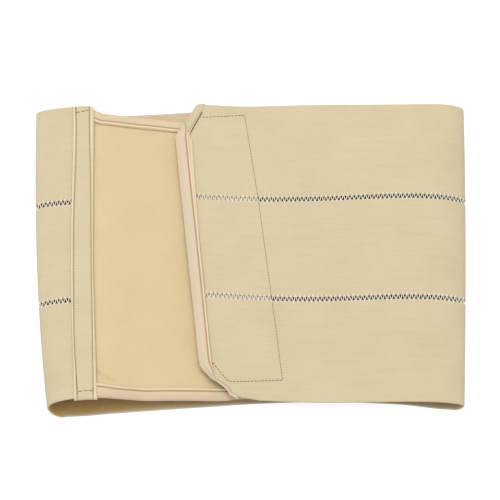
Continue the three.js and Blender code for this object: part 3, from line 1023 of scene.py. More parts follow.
def loop_run(level: Values, layer: Layer, share: float) -> Values:
    """Works out the run at a share of a stretch of the elastic, from the strip to the end.

    The first stretch starts beside the strip's axis and the last ends inside the end's tape.

    Args:
        level: Levels across the band.
        layer: The stretch.
        share: Share of the way along it.

    Returns:
        The runs at the levels.
    """
    start = BAND.front_run(BAND.strip_x(level) - BAND.clearance, level)
    end = BAND.overlap_run(BAND.tip_x(level, BAND.edge_inset), level)
    if layer is Layer.FRONT_LEFT:
        return mix(start, 2, share)
    if layer is Layer.OVERLAP:
        return mix(6, end, share)
    return layer.value + share + 0 * level


@dataclass(frozen=True)
class Elastic:
    """The three ribbed elastic panels, each the whole way round the loop."""

    steps: dict = field(default_factory=lambda: {
        Layer.FRONT_LEFT: 22, Layer.LEFT_FOOT: 10, Layer.BACK: 44, Layer.RIGHT_FOOT: 8,
        Layer.RIGHT_SHOULDER: 18, Layer.OVERLAP: 54})
    samples: int = 4
    rib_height: float = 0.06
    edge_radius: float = 0.8
    edge_rows: int = 4
    # inside: strength of the painted shade on the loop's inner face
    inside: float = 0.7
    inside_shade_share: float = 0.68
    inside_shade_slope: float = 0.64
    inside_shade_steps: tuple = ((0.7, 3.08, 0.45),)
    # rim: strength of the painted greyish light on the band's edges along the back
    rim: float = 0.85
    rim_light_width: float = 1.3
    rim_light_runs: tuple = (2.6, 4.4)
    rim_light_fade: float = 0.4
    rim_light_levels: float = 5

    def runs(self, level: np.ndarray) -> np.ndarray:
        """Works out the runs of all stations.

        Args:
            level: Levels across the panel.

        Returns:
            A row for each station and a column for each level.
        """
        rows = [loop_run(level, Layer.FRONT_LEFT, 0)]
        for layer, count in self.steps.items():
            rows += [loop_run(level, layer, i / count) for i in range(1, count + 1)]
        return np.stack(rows)

    def panel(self, name: str, low: float, high: float, node: str) -> None:
        """Builds one panel between two levels.

        The outer face is the surface at half the thickness plus ribs, cosines of the level with
        the rib pitch, and both faces close in along the edges on a quarter circle. The inner
        face gets painted shade, deeper towards the lower edge, and the band's own edges along
        the back get a painted greyish light as a rim.

        Args:
            name: Name of the piece.
            low: Level of its lower edge.
            high: Level of its upper edge.
            node: CAD node that it stands for.
        """
        count = round((high - low) / RIB_PITCH)
        inner = np.linspace(low, high, count * self.samples + 1)
        near = self.edge_radius * (np.arange(self.edge_rows) / self.edge_rows) ** 2
        level = np.unique(np.concatenate([inner, low + near, high - near]).round(5))
        run = self.runs(level)
        level = np.broadcast_to(level, run.shape)
        length = along_band(run, level)
        edge = np.minimum(np.minimum(level - low, high - level),
                          np.minimum(length, length[-1] - length))
        half = BAND.face * rounded(edge, self.edge_radius)
        rib = self.rib_height * np.cos(2 * math.pi * level / RIB_PITCH) * smooth(edge / 2)
        ring, faces = plate(run, level, -half, half + rib)
        uv = both_faces(np.stack([length, level], axis=-1))
        # Painted light: a greyish rim along the band's outermost edges on the back, where the floor lights
        # them
        first, last = self.rim_light_runs
        back = smooth((run - first) / self.rim_light_fade) * smooth((last - run) / self.rim_light_fade)
        outermost = np.abs(level) > BAND.half - self.rim_light_levels
        painted_rim_light = self.rim * back * bump(edge, 0, self.rim_light_width) * outermost
        # Painted shade on the inner face, deeper towards the lower edge and fading out along the back
        shade = self.inside * (self.inside_shade_share - self.inside_shade_slope * level / BAND.height)
        shade = shade * (1 - steps(self.inside_shade_steps, run))
        marks = {"inside": np.concatenate([0 * run, shade[:, ::-1]], axis=1),
                 "rim": both_faces(painted_rim_light)}
        piece = make_object(name, ring, faces, MATERIALS["web"], uv, (node,), marks)

    def build(self) -> None:
        """Builds the three panels, from the lower edge up."""
        low, high = SEAM_LEVELS
        gap = SEAM_OPEN / 2
        self.panel("lower_elastic", -BAND.half, low - gap, "web_lower")
        self.panel("middle_elastic", low + gap, high - gap, "web_middle")
        self.panel("upper_elastic", high + gap, BAND.half, "web_upper")


@dataclass(frozen=True)
class Openwork:
    """A zigzag seam of threads between two rails, with dark gaps between the threads."""

    period: float = 3.1
    reach: float = 2.9
    strands: int = 2
    strand_radius: float = 0.2
    strand_offset: float = 0.36
    rail_radius: float = 0.3
    samples: int = 7
    ends_in: float = 1.5
    thread_sides: int = 5
    rail_sides: int = 6
    rail_spacing: float = 1.6
    arch_levels: tuple = (0, 1.7, 2.1)
    arch_depths: tuple = (0.1, 0.75)
    over_face: float = 0.16
    into_face: float = 0.25

    def stations(self, centre: float) -> tuple[np.ndarray, np.ndarray]:
        """Returns runs in small steps along a seam's middle, and the length up to each."""
        fine = np.linspace(1, 7, 3001)
        return fine, along_band(fine, np.full_like(fine, centre))

    def build(self, name: str, centre: float, node: str) -> None:
        """Builds the rails and the threads of one seam as one mesh.

        A thread goes straight from rail to rail in half a period, over the edge of the elastic
        and into it at both ends, beside one other.

        Args:
            name: Name of the piece.
            centre: Level of the seam's middle.
            node: CAD node that it stands for.
        """
        fine, length = self.stations(centre)
        start = np.interp(float(BAND.front_run(BAND.strip_x(centre), centre)), fine, length)
        end_run = float(BAND.overlap_run(BAND.tip_x(centre, BAND.edge_inset), centre))
        end = np.interp(end_run, fine, length) - self.ends_in
        count = int((end - start) / self.period * 2)
        t = np.linspace(0, 1, self.samples)
        offsets = (np.arange(self.strands) - (self.strands - 1) / 2) * self.strand_offset
        arm, strand = np.meshgrid(np.arange(count), offsets, indexing="ij")
        arm, strand = arm.reshape(-1, 1), strand.reshape(-1, 1)
        s = start + (arm + t) * self.period / 2 + strand
        sign = np.where(arm % 2 == 0, 1, -1)
        level = sign * (2 * t - 1) * self.reach
        ends = (BAND.face + self.over_face, BAND.face - self.into_face)
        depth = np.interp(np.abs(level), (*self.arch_levels, self.reach), (*self.arch_depths, *ends))
        run = np.interp(s, length, fine)
        centres = BAND.at(run, centre + level, depth)
        up = BAND.at(run, centre + level, depth + 1) - centres
        threads = tubes(centres, np.full(run.shape, self.strand_radius), up, self.thread_sides)
        rail_s = np.linspace(start, end, int((end - start) / self.rail_spacing))
        side = SEAM_OPEN / 2 * np.array([[-1], [1]])
        rail_run = np.broadcast_to(np.interp(rail_s, length, fine), (2, len(rail_s)))
        rail_level = np.broadcast_to(centre + side, rail_run.shape)
        rail = BAND.at(rail_run, rail_level, np.zeros(rail_run.shape))
        rail_up = BAND.at(rail_run, rail_level, np.ones(rail_run.shape)) - rail
        rails = tubes(rail, np.full(rail_run.shape, self.rail_radius), rail_up, self.rail_sides)
        points = np.concatenate([threads[0].reshape(-1, 3), rails[0].reshape(-1, 3)])
        shift = threads[0].size // 3
        faces = threads[1] + [f + shift for f in rails[1]]
        make_object(name, points, faces, MATERIALS["thread"], None, (node,))


@dataclass(frozen=True)
class Seam:
    """A line of stitches along a path on the band."""

    pitch: float = 2.7
    length_share: float = 0.78
    radius: float = 0.22
    lift: float = 0.12
    sunk: float = 0.6
    arch: float = 3
    least: float = 0.55
    sides: int = 6
    samples: int = 6

    def build(self, name: str, paths: list, run_at: RunAt, depth: float, finish: str,
              slot: str) -> None:
        """Builds the stitches of several paths as one mesh.

        A stitch is a tube along a short stretch of its path, which rises from the cloth and
        goes back into it on half a sine.

        Args:
            name: Name of the piece.
            paths: Arrays of X and level along each path.
            run_at: Function from X and level to the run.
            depth: Depth of the cloth under the stitches.
            finish: Name of the finish.
            slot: Not used.
        """
        t = np.linspace(0, 1, self.samples)
        arc = np.sin(math.pi * t)
        places = []
        for path in paths:
            sides = np.linalg.norm(np.diff(path, axis=0), axis=1)
            length = np.concatenate([[0], np.cumsum(sides)])
            count = max(1, round(length[-1] / self.pitch))
            s = (np.arange(count)[:, None] + 0.5 + (t - 0.5) * self.length_share)
            s = s * length[-1] / count
            places.append(np.stack([np.interp(s, length, path[:, c]) for c in (0, 1)], axis=-1))
        place = np.concatenate(places)
        x, level = place[..., 0], place[..., 1]
        run = run_at(x, level)
        depths = depth - self.radius * self.sunk + self.lift * self.arch * arc + 0 * x
        centres = BAND.at(run, level, depths)
        up = BAND.at(run, level, depths + 1) - centres
        radii = self.radius * mix(self.least, 1, arc) + 0 * x
        points, faces = tubes(centres, radii, up, self.sides)
        make_object(name, points, faces, MATERIALS[finish], None)


@dataclass(frozen=True)
class JoiningStrip:
    """The folded tape over the joint of the elastic and the landing panel."""

    thickness: float = 1.2
    spacing: float = 1.6
    top: float = 114.0
    low: float = -116.6
    corner: float = 4.2
    ridge: float = 0.45
    groove: float = 0.4
    corner_start: float = 11.5
    stitched: float = 0.45
    outer_ridges: tuple = ((1, 0.9, 0.9), (1, 13.6, 1.1))
    # Places and widths of the painted highlights on the two outer ridges
    painted_ridge_lights: tuple = ((0.9, 0.9), (13.8, 1.0))
    groove_shade: float = 0.6
    groove_shade_width: float = 0.4
    edge_radius: float = 0.7
    edge_share: float = 0.2
    sunk: float = 0.25
    least_thickness: float = 0.1
    columns: int = 66
    bend: float = 8
    marks: tuple = (0, 2.2, 12.0, 16.0)
    levels: tuple = (-116, -101, -70, -47, -16, 23, 55, 79, 99, 114)
    lines: tuple = (
        (0.8, 0.4, -0.75, -1.5, -2.0, -1.7, -0.9, -0.25, 0.0, -0.1),
        (3.0, 2.3, 0.5, 0.2, 0.0, 0.2, 1.3, 2.2, 2.6, 2.0),
        (13.5, 13.4, 13.1, 12.8, 12.45, 12.45, 12.4, 12.0, 11.8, 12.0),
        (16.4, 15.9, 15.2, 14.6, 13.9, 14.1, 14.6, 15.1, 15.5, 15.8),
    )

    def line(self, index: int, level: Values) -> Values:
        """Returns where a marked line lies across the strip at a level, with softened bends."""
        around = np.asarray(level)[..., None] + np.linspace(-self.bend, self.bend, 7)
        return np.interp(around, self.levels, self.lines[index]).mean(-1)

    def profile(self, across: np.ndarray) -> np.ndarray:
        """Works out the relief of the strip's face at a place across it.

        Bells for the two ridges less narrow bells for the two stitched grooves.

        Args:
            across: Places across the strip.

        Returns:
            The relief over the strip's plain face.
        """
        sunk = sum(bump(across, mark, self.stitched) for mark in self.marks[1:3])
        return self.ridge * waves(self.outer_ridges, across) - self.groove * sunk

    def place(self, across: np.ndarray, level: np.ndarray) -> np.ndarray:
        """Works out the run at a place across the strip, spread between its marked lines.

        Args:
            across: Places across the strip.
            level: Levels across the band.

        Returns:
            The runs.
        """
        k = np.clip(np.searchsorted(self.marks, across, "right") - 1, 0, 2)
        share = (across - np.take(self.marks, k)) / np.take(np.diff(self.marks), k)
        lines = np.stack([self.line(i, level) for i in range(4)])
        low = np.take_along_axis(lines, k[None], 0)[0]
        high = np.take_along_axis(lines, k[None] + 1, 0)[0]
        x = BAND.strip_x(level) - BAND.strip_width / 2 + mix(low, high, share)
        return BAND.front_run(x, level)

    def build(self) -> None:
        """Builds the strip and its stitches.

        Its upper right corner is cut by a quarter ellipse.
        """
        across = np.linspace(0, self.marks[3], self.columns)[:, None]
        share = np.linspace(0, 1, round((self.top - self.low) / self.spacing))[None]
        turned = np.clip((across - self.corner_start) / (self.marks[3] - self.corner_start), 0, 1)
        top = self.top - self.corner * (1 - np.sqrt(1 - turned ** 2))
        level = mix(self.low, top, share)
        across = np.broadcast_to(across, level.shape)
        edge = np.minimum(np.minimum(across, self.marks[3] - across),
                          np.minimum(top - level, level - self.low))
        run = self.place(across, level)
        rim = rounded(edge, self.edge_radius, self.edge_share)
        over = BAND.tape_under + self.thickness * rim + self.profile(across)
        under = np.full(over.shape, BAND.tape_under - self.sunk)
        ring, faces = plate(run, level, under, np.maximum(over, under + self.least_thickness))
        faces = [f[:, ::-1] for f in faces]
        uv = both_faces(np.stack([across, level], axis=-1))
        # Marks: painted highlights on the outer ridges, painted shade in the two stitched grooves
        ridge = np.maximum(*(bump(across, place, width) for place, width in self.painted_ridge_lights))
        seams = [bump(across, mark, self.groove_shade_width) for mark in self.marks[1:3]]
        groove = self.groove_shade * np.maximum(*seams)
        marks = {"ridge": both_faces(ridge), "groove": both_faces(groove)}
        strip = make_object("joining_tape", ring, faces, MATERIALS["web"], uv,
                            ("joining_strip",), marks)
        self.stitch()

    def stitch(self) -> None:
        """Builds the strip's long seams and the short seams across its ends."""
        face = BAND.tape_under + self.thickness - self.groove
        left, right, edge = self.marks[1:]

        def path(*corners: tuple) -> np.ndarray:
            """Returns points at even steps along the straight lines between corners."""
            places = [np.linspace(a, b, 60, endpoint=False) for a, b in zip(corners, corners[1:])]
            return np.concatenate([*places, [corners[-1]]])

        seams = [path((left, self.top - 1), (left, self.low + 2)),
                 path((right, self.top - 4), (right, self.low + 3))]
        Seam(pitch=2.6, radius=0.17, lift=0.06).build(
            "joining_seams", seams, self.place, face, "stitch", "tape")
        short = [path((left, 108.6), (6, 109.0), (10.4, 109.9), (right, 110.6), (15.4, 109.2)),
                 path((left + 0.4, -110.5), (8.0, -110.4), (right, -110.1))]
        Seam(pitch=3.3, radius=0.3, lift=0.1, length_share=0.85).build(
            "joining_tacks", short, self.place, face + self.groove, "stitch", "tape")
        knots = [path((left, 113), (left, 107)), path((left + 0.1, -98), (left, -113)),
                 path((right, -107), (right, -112))]
        Seam(pitch=2.4, radius=0.3, lift=0.08, length_share=0.95).build(
            "joining_knots", knots, self.place, face + 0.1, "stitch", "tape")
        dots = [path((edge - 0.5, 106), (edge - 0.5, self.low + 4))]
        Seam(pitch=2.2, length_share=0.45, radius=0.2, lift=0.05).build(
            "joining_edge_seam", dots, self.place, face + self.groove, "pale_stitch", "tape")


@dataclass(frozen=True)
class LandingPanel:
    """The padded panel with its brushed pile face, inside its binding."""

    spacing: float = 2.0
    crown: float = 0.75
    crown_reach: float = 9.0
    edge_drop: float = 0.35
    seam_drop: float = 0.35
    arc_radius: float = 23.2
    arc_centre: tuple = (16.6, 36.0)
    arc_fade: float = 9.0
    arc_width: float = 1.1
    arc_shade: float = 0.5
    edge_light: float = 0.3
    crowding: float = 1.3
    plain_rim: float = 7
    under_strip: float = 12
    edge_radius: float = 1.2

    def build(self) -> None:
        """Builds the pad.

        Its face swells from its edges inwards by crown (1 - exp(-distance / reach)), and a
        shallow seam rounds the lower corner beside the joining strip.
        """
        columns = round(BAND.panel_length / self.spacing)
        share = 1 - (1 - np.linspace(0, 1, columns)) ** self.crowding
        rows = round(BAND.height / self.spacing)
        upward = np.linspace(0, 1, rows)
        share, upward = np.meshgrid(share, upward, indexing="ij")
        inset = BAND.edge_inset
        level = mix(BAND.panel_low(share) + inset, BAND.panel_top(share) - inset, upward)
        x = mix(BAND.hidden_end - inset, BAND.strip_x(level) + BAND.clearance, share)
        run = BAND.front_run(x, level)
        top = BAND.panel_top(share) - level
        low = level - BAND.panel_low(share)
        beside = x - BAND.strip_x(level) - BAND.strip_width / 2
        ends = np.minimum(BAND.hidden_end - x, beside + self.under_strip)
        edge = np.minimum(np.minimum(top, low), ends)
        swell = 1 - np.exp(-np.maximum(edge - self.plain_rim, 0) / self.crown_reach)
        side_swell = 1 - np.exp(-np.maximum(beside, 0) / self.crown_reach)
        corner = np.hypot(beside - self.arc_centre[0], low - self.arc_centre[1])
        near = smooth((self.arc_centre[0] - beside) / self.arc_fade) * (low < self.arc_centre[1])
        arc = bump(corner, self.arc_radius, self.arc_width) * near
        over = (BAND.face - self.edge_drop + self.crown * np.minimum(swell, side_swell)
                - self.seam_drop * arc)
        under = np.full(over.shape, BAND.panel_under)
        middle = (over + under) / 2
        half = (over - under) / 2 * rounded(np.minimum(top, low) - inset, self.edge_radius)
        ring, faces = plate(run, level, middle - half, middle + half)
        uv = both_faces(np.stack([x, level], axis=-1))
        # Painted shade along the corner's seam and painted light towards the pad's edges
        marks = {"groove": both_faces(arc * self.arc_shade),
                 "ridge": both_faces(self.edge_light * (1 - swell * side_swell))}
        pad = make_object("pile_panel", ring, faces, MATERIALS["pile"], uv,
                          ("loop_panel",), marks)


@dataclass(frozen=True)
class FoldedTape:
    """A tape folded round an edge, with a ridge along its inner side and a seam before it."""

    width: float
    under: float
    seam: float
    ridge_at: float
    ridge_width: float = 0.95
    puff: float = 0.25
    arm: float = 6.0
    spacing: float = 2.2
    lift: float = 0.0
    pinch: float = 1.2
    pinch_reach: float = 4.5
    edge_reach: float = 0.8
    sink: float = 0.0
    thin: tuple = (-2.2, 0.5)
    edge_light: float = 0.6
    edge_shade: float = 0.0
    corner: float = 0.9
    cut_thickness: float = 0.15
    groove: float = 0.45
    groove_width: float = 0.45
    groove_reach: float = 0.6
    arm_end: float = 1.4
    turn: tuple = (1.42, 0.58)
    thin_share: float = 0.4
    light_width: float = 1.1
    edge_light_width: float = 1.3
    seam_shade: float = 0.75

    def profile(self) -> np.ndarray:
        """Works out the tape's section, a closed loop.

        Over the edge: puffed cloth, a narrow groove at the seam and a bell for the ridge. The
        two sides close in by pinch (1 - smooth(width / reach)) towards a half ellipse at the
        outer edge, and a short arm lies under the edge.

        Returns:
            A row of width and depth for each point.
        """
        thick = BAND.tape_thickness
        high = BAND.tape_over + self.lift
        low = self.under - BAND.clearance
        width = np.concatenate([np.linspace(self.corner, max(self.seam - self.corner, 1), 8),
                                np.linspace(self.seam - self.groove_reach, self.width, 16)])
        width = np.unique(np.clip(width, self.corner, self.width))
        puffed = self.puff * np.sin(math.pi * np.clip(width / self.seam, 0, 1))
        ridge = BAND.ridge_height * bump(width, self.ridge_at, self.ridge_width)
        groove = self.groove * bump(width, self.seam, self.groove_width)
        fall = thick - self.cut_thickness
        fall = fall * (1 - smooth((self.width - width) / self.edge_reach))
        pinch = self.pinch * (1 - smooth(width / self.pinch_reach))
        depth = high + puffed + ridge - groove - fall - pinch
        turn = np.linspace(math.pi * self.turn[0], math.pi * self.turn[1], 9)
        tall = (high - low + thick) / 2 - self.pinch
        edge = np.stack([self.corner * (1 + np.cos(turn)),
                         (high + low - thick) / 2 + tall * np.sin(turn)], axis=1)
        face = np.stack([width, depth], axis=1)
        arm = np.linspace(self.arm, self.arm_end, 6)
        below = low - thick + self.pinch * (1 - smooth(arm / self.pinch_reach))
        inner = [(self.width, BAND.tape_under - self.sink), (2 * thick, BAND.tape_under),
                 (2 * thick, low), (self.arm, low)]
        return np.concatenate([edge, face, inner, np.stack([arm, below], axis=1)])

    def build(self, name: str, outline: Outline, run_at: RunAt, width_at: ShareAt, finish: str,
              nodes: tuple, first: float = 0, last: float = math.inf) -> None:
        """Carries the section along an outline.

        Where the width's share falls below the thin share, the depths are clipped towards
        those of a thin edge.

        Args:
            name: Name of the piece.
            outline: The outer edge of the tape.
            run_at: Function from X and level to the run.
            width_at: Function from the corner number to the share of the tape's width.
            finish: Name of the finish.
            nodes: CAD nodes that the piece stands for.
            first: Corner from which the tape starts.
            last: Corner at which it ends.
        """
        place, move, number = outline.stations(self.spacing, first, last)
        section = self.profile()
        share = width_at(number)[:, None]
        thick = BAND.tape_thickness
        width = np.where(section[:, 0] > thick, thick + (section[:, 0] - thick) * share,
                         section[:, 0])
        at = place[:, None] + move[:, None] * width[..., None]
        full = smooth(share / self.thin_share)
        depth = np.clip(section[:, 1], mix(self.thin[0], section[:, 1].min(), full),
                        mix(self.thin[1], section[:, 1].max(), full))
        points = BAND.at(run_at(at[..., 0], at[..., 1]), at[..., 1], depth)
        stations, ring = width.shape
        caps = np.array([np.arange(ring)[::-1], (stations - 1) * ring + np.arange(ring)])
        faces = [tube_faces(stations, ring)[:, ::-1], caps[:, ::-1]]
        length = np.concatenate([[0], np.cumsum(np.linalg.norm(np.diff(place, axis=0), axis=1))])
        around = np.concatenate([[0], np.cumsum(np.linalg.norm(np.diff(section, axis=0), axis=1))])
        uv = np.stack(np.broadcast_arrays(length[:, None], around[None]), axis=-1)
        # Painted highlights on the ridge and the outer edge, painted shade in the seam and along the inner
        # edge, on the outer face only
        above = section[:, 1] > (BAND.tape_over + self.under) / 2
        light = np.maximum(bump(section[:, 0], self.ridge_at, self.light_width),
                           self.edge_light * bump(section[:, 0], 0, self.edge_light_width))
        shades = ((self.seam_shade, self.seam, self.groove_width),
                  (self.edge_shade, self.width, self.groove_width))
        marks = {"ridge": np.broadcast_to(light * above, width.shape),
                 "groove": waves(shades, section[:, 0]) * above * full}
        piece = make_object(name, points, faces, MATERIALS[finish], uv, nodes, marks)


@dataclass(frozen=True)
class PanelBinding:
    """The binding round the upper edge, the hidden end and the lower edge of the panel."""

    tape: FoldedTape = FoldedTape(width=9.0, under=BAND.panel_under, seam=6.4, ridge_at=7.8,
                                  edge_light=0.0)
    columns: int = 24
    under_strip: float = 1.0
    rise: float = 2.2
    rise_share: float = 0.915
    lower_width: float = 0.94
    upper_width: float = 1.06
    start_width: float = 0.22
    start_corners: float = 2.6
    seam_sunk: float = 0.35

    def build(self) -> None:
        """Builds the binding and its seam.

        The upper edge rises beside the strip by rise smooth((share - start) / (end - start)).
        """
        reach = 1 - (BAND.strip_width / 2 - self.under_strip) / BAND.panel_length
        share = np.linspace(0, reach, self.columns)
        rise = self.rise * smooth((share - self.rise_share) / (reach - self.rise_share))

        def edge(level: np.ndarray) -> np.ndarray:
            """Returns the X and level of an edge at the shares of its way to the strip."""
            return np.stack([mix(BAND.hidden_end, BAND.strip_x(level), share), level], axis=1)

        def width_share(number: np.ndarray) -> np.ndarray:
            """Works out the share of the tape's width at a corner number.

            Args:
                number: Corner numbers, from the lower edge beside the strip round to the upper.

            Returns:
                The shares.
            """
            wide = self.start_width * (1 - smooth(number / self.start_corners))
            upper = smooth(number - self.columns + 1)
            return mix(self.lower_width, self.upper_width, upper) + wide

        corners = [edge(BAND.panel_low(share))[::-1], edge(BAND.panel_top(share) + rise)]
        outline = Outline(np.concatenate(corners), np.array([-BAND.strip_lean, BAND.height]))
        self.tape.build("panel_tape", outline, BAND.front_run, width_share, "panel_tape",
                        ("panel_binding",))
        width = self.tape.seam * width_share(np.arange(2 * self.columns))[:, None]
        seam = outline.corners + outline.moves * width
        Seam(pitch=2.4, radius=0.17, lift=0.05).build(
            "panel_seams", [seam], BAND.front_run, BAND.tape_over - self.seam_sunk,
            "pale_stitch", "tape")


@dataclass(frozen=True)
class EndFold:
    """The flat fold of tape that shows beside the upper part of the end's binding."""

    top: float = 91
    levels: tuple = (-8, 39, 83)
    widths: tuple = (9.2, 10.8, 12.1)
    corner_cut: float = 2.6
    inner: float = 1.6
    rise: float = 0.9
    rise_at: float = 7.6
    rise_width: float = 1.2
    thickness: float = 0.3
    sunk: float = 0.1
    edge_radius: float = 0.8
    light: float = 0.35
    flat: tuple = (10, 94)

    def build(self) -> None:
        """Builds the fold.

        It lies flat below the binding and rises beside it. Its inner edge runs from 12 mm
        beside the end at the corner down under the ridge.
        """
        level = np.linspace(self.top, self.levels[0], 72)
        share, level = np.meshgrid(np.linspace(0, 1, 21), level, indexing="ij")
        cut = smooth((level - self.levels[2]) / (self.top - self.levels[2]))
        outer = np.interp(level, self.levels, self.widths) - self.corner_cut * cut
        width = mix(outer, self.inner, share)
        run = BAND.overlap_run(BAND.tip_x(level) + width, level)
        raised = smooth((width - self.rise_at) / self.rise_width)
        raised = raised * rounded(outer - width, self.edge_radius, 0)
        under = np.full(width.shape, BAND.tape_under - self.sunk)
        ring, faces = plate(run, level, under, under + self.thickness + self.rise * raised)
        faces = [f[:, ::-1] for f in faces]
        uv = both_faces(np.stack([level, width], axis=-1))
        marks = {"ridge": np.full(ring.shape[:2], self.light)}
        piece = make_object("end_fold", ring, faces, MATERIALS["tape"], uv, (), marks)


@dataclass(frozen=True)
class OverlapEnd:
    """The end of the overlapping layer: hook tape beneath, hem, binding and stitching."""

    hook_width: float = 56
    hook_lean: float = 28
    hook_top: float = 6.5
    hook_low: float = 10
    tape: FoldedTape = FoldedTape(width=9.8, under=BAND.hook_under, seam=7.4, ridge_at=8.6,
                                  ridge_width=0.8, pinch=1.7, edge_shade=0.5)
    hem: FoldedTape = FoldedTape(width=6.9, under=BAND.hook_under, seam=14.0, ridge_at=20.0,
                                 puff=0.0, lift=-0.35, pinch=1.5, edge_reach=3.4, sink=0.5,
                                 edge_light=0.0)
    tape_start: float = 0.5
    tape_opens: float = 0.56
    tape_extra: float = 0.5
    least_share: float = 0.05
    hem_start: float = 0.86
    hook_edge: float = 0.6
    curved_seam: tuple = ((-47.1, 99.1), (-45.3, 91.1), (-43.9, 83.8), (-42.6, 68.0), (-41.2, 45.0))
    # Path of the hem's dark seam, which also stands in for the shadow line beside the hem
    diagonal: tuple = ((-34.6, 107.8), (-43.6, 89.0))
    outline: tuple = ((-34.8, 103.6), (-3.9, 106.6), (5.6, 40.0), (17.9, -61.8), (22.2, -98.7),
                      (-14.4, -102.1), (-26.0, -87.6))

    def hook_inner(self, level: Values) -> Values:
        """Returns the X of the inner side of the hook tape."""
        lean = (self.hook_lean - BAND.tip_lean) / BAND.height
        return BAND.tip_slant(level) + self.hook_width - lean * level

    def hook_patch(self) -> None:
        """Builds the hook tape under the end."""
        low, high = self.hook_low - BAND.half, BAND.half - self.hook_top
        level = np.linspace(low, high, 84)
        share = np.linspace(0, 1, 22)
        share, level = np.meshgrid(share, level, indexing="ij")
        x = mix(self.hook_inner(level), BAND.tip_x(level, BAND.edge_inset), share)
        run = BAND.overlap_run(x, level)
        edge = np.minimum(level - low, high - level)
        half = BAND.hook_thickness / 2 * rounded(edge, self.hook_edge)
        middle = -BAND.face - BAND.clearance - BAND.hook_thickness / 2
        ring, faces = plate(run, level, middle - half, middle + half)
        uv = both_faces(np.stack([x, level], axis=-1))
        patch = make_object("hook_tape", ring, faces, MATERIALS["hook"], uv,
                            ("hook_patch",))

    def tape_share(self, number: np.ndarray) -> np.ndarray:
        """Works out the share of the tape's width at a corner number of the tip.

        Below the first corner the tape's inner edge runs on straight until it meets the cut
        corner: width = (straight width - run) / (move along X + slant move across).

        Args:
            number: Corner numbers, with a fraction between corners.

        Returns:
            The shares, held between the least share and 1.
        """
        tip = BAND.tip
        corners = np.arange(len(tip.corners))
        run = np.interp(number, corners, BAND.tip_runs)
        along, across = (np.interp(number, corners, tip.moves[:, c]) for c in (0, 1))
        slant = BAND.tip_lean / BAND.height
        straight = (self.tape.width + self.tape_extra - run) / (along + slant * across)
        opening = (number - self.tape_opens) / (1 - self.tape_opens)
        share = np.where(number < 1, opening, straight / self.tape.width)
        return np.clip(share, self.least_share, 1)

    def bindings(self) -> None:
        """Builds the tape on the slanted end, the hem of the upper cut corner and the fold."""
        tip = BAND.tip

        def hem_share(number: np.ndarray) -> np.ndarray:
            """Returns the share of the hem's width at a corner number."""
            return mix(self.hem_start, 1, np.clip(number, 0, 1))

        self.tape.build("end_tape", tip, BAND.overlap_run, self.tape_share, "tape",
                        ("end_binding",), first=self.tape_start)
        self.hem.build("upper_hem", tip, BAND.overlap_run, hem_share, "web", (), last=1.02)
        EndFold().build()

    def stitching(self) -> None:
        """Builds the stitched outline of the hook tape and the seams of the end."""
        face = BAND.face + 0.1
        corners = np.array(self.outline)
        ends = [np.linspace(corners[a], corners[a + 1], 40) for a in (0, 4, 5)]
        side = np.concatenate([np.linspace(corners[a], corners[a + 1], 60) for a in (1, 2, 3)])
        Seam(pitch=2.5, radius=0.24, lift=0.08).build(
            "hook_end_seams", ends, BAND.overlap_run, face, "stitch", "web")
        Seam(pitch=2.2, length_share=0.95, radius=0.16, lift=0.03).build(
            "hook_side_seam", [side], BAND.overlap_run, face, "stitch", "web")
        # A thick dark seam that is partly stitching and partly a painted shadow line along the hem's edge
        Seam(pitch=2.6, length_share=1.05, radius=0.46, lift=0.02).build(
            "hem_seam_and_shadow_line", [np.linspace(*self.diagonal, 30)], BAND.overlap_run,
            BAND.tape_under + 0.3, "stitch", "web")
        Seam(pitch=2.2, length_share=0.95, radius=0.2, lift=0.05).build(
            "curved_seam", [np.array(self.curved_seam)], BAND.overlap_run,
            BAND.tape_over + 0.1, "pale_stitch", "tape")
        place, move, number = BAND.tip.stations(2.0, 1, 7)
        seam = place + move * self.tape.seam * self.tape_share(number)[:, None]
        Seam(pitch=2.4, length_share=0.9, radius=0.18, lift=0.05).build(
            "end_seam", [seam], BAND.overlap_run, BAND.tape_over - 0.3, "pale_stitch", "tape")

    def build(self) -> None:
        """Builds the hook tape, the bindings and the stitching."""
        self.hook_patch()
        self.bindings()
        self.stitching()


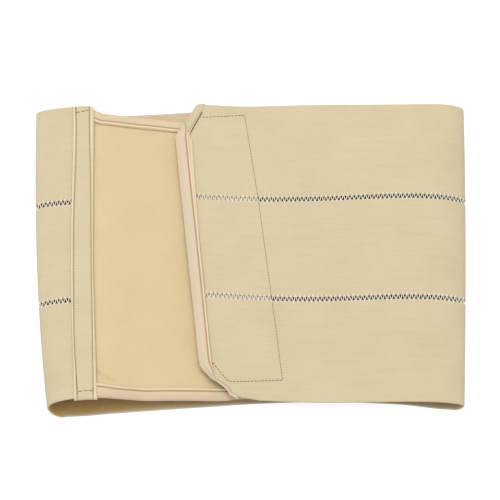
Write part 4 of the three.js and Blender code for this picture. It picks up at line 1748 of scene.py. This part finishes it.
@dataclass(frozen=True)
class Studio:
    """Floor, light and camera."""

    elevation: float = 66
    distance: float = 1678
    aim: tuple = (0.3, 0.0, 14.2)
    lens: float = 172.1
    floor_size: float = 6000
    key_size: float = 1.5
    key_power: float = 24
    key_place: tuple = (-0.15, 0.25, 1.7)
    world_light: float = 0.78
    floor_glow: float = 0.6
    covered: tuple = (120.0, 98.0)
    floor_grey: float = 0.8
    glow: float = 1.35
    sensor: float = 36
    far: float = 100

    def build(self) -> None:
        """Builds the floor, the lights and the camera."""
        self.floor()
        self.light()
        self.camera()

    def floor(self) -> None:
        """Builds a plain pale floor at table height, lit from below like a light table.

        The part covered by the binder stays dark, so that its openwork shows no floor.
        """
        size = self.floor_size * MM / 2
        mesh = bpy.data.meshes.new("floor")
        corners = [(-size, -size, 0), (size, -size, 0), (size, size, 0), (-size, size, 0)]
        mesh.from_pydata(corners, [], [(0, 1, 2, 3)])
        floor = bpy.data.objects.new("floor", mesh)
        material = bpy.data.materials.new("pale_floor")
        material.use_nodes = True
        graph = Graph(material.node_tree)
        matt = graph.add("BsdfDiffuse", {"Color": (*[self.floor_grey] * 3, 1)})
        glow = graph.add("Emission", {"Color": (1, 1, 1, 1), "Strength": self.glow})
        seen = graph.add("LightPath").outputs["Is Camera Ray"]
        place = graph.add("TexCoord").outputs["Object"]
        place = graph.add("SeparateXYZ", {0: place}).outputs
        free = [graph.math("GREATER_THAN", graph.math("ABSOLUTE", place[i]), side * MM)
                for i, side in enumerate(self.covered)]
        free = graph.math("MAXIMUM", *free)
        share = graph.math("MULTIPLY", graph.math("MULTIPLY", seen, self.floor_glow), free)
        both = graph.add("MixShader", {0: share, 1: matt.outputs[0], 2: glow.outputs[0]})
        graph.add("OutputMaterial", {"Surface": both.outputs[0]})
        mesh.materials.append(material)
        bpy.context.scene.collection.objects.link(floor)

    def light(self) -> None:
        """Lights the binder with an even white surround and one large lamp above it."""
        world = bpy.data.worlds.new("surround")
        world.use_nodes = True
        background = world.node_tree.nodes["Background"]
        background.inputs["Color"].default_value = (1, 1, 1, 1)
        background.inputs["Strength"].default_value = self.world_light
        bpy.context.scene.world = world
        lamp = bpy.data.lights.new("key", "AREA")
        lamp.size = self.key_size
        lamp.energy = self.key_power
        key = bpy.data.objects.new("key", lamp)
        key.location = self.key_place
        key.rotation_euler = Vector(self.key_place).to_track_quat("Z", "Y").to_euler()
        bpy.context.scene.collection.objects.link(key)

    def camera(self) -> None:
        """Stands the camera at its distance and elevation, looking along +Y at its aim."""
        angle = math.radians(self.elevation)
        data = bpy.data.cameras.new("camera")
        data.lens = self.lens
        data.sensor_width = self.sensor
        data.clip_end = self.far
        camera = bpy.data.objects.new("camera", data)
        back = np.array([0, -math.cos(angle), math.sin(angle)]) * self.distance
        camera.location = (np.array(self.aim) + back) * MM
        camera.rotation_euler = (math.pi / 2 - angle, 0, 0)
        bpy.context.scene.collection.objects.link(camera)
        bpy.context.scene.camera = camera
        bpy.context.scene.view_settings.view_transform = "Standard"


def main() -> None:
    """Builds the studio and the binder."""
    logging.basicConfig(level=logging.INFO, format="%(name)s: %(message)s")
    Studio().build()
    Elastic().build()
    Openwork().build("upper_openwork", SEAM_LEVELS[1], "openwork_upper")
    Openwork().build("lower_openwork", SEAM_LEVELS[0], "openwork_lower")
    LandingPanel().build()
    PanelBinding().build()
    JoiningStrip().build()
    OverlapEnd().build()


if __name__ == "__main__":
    main()
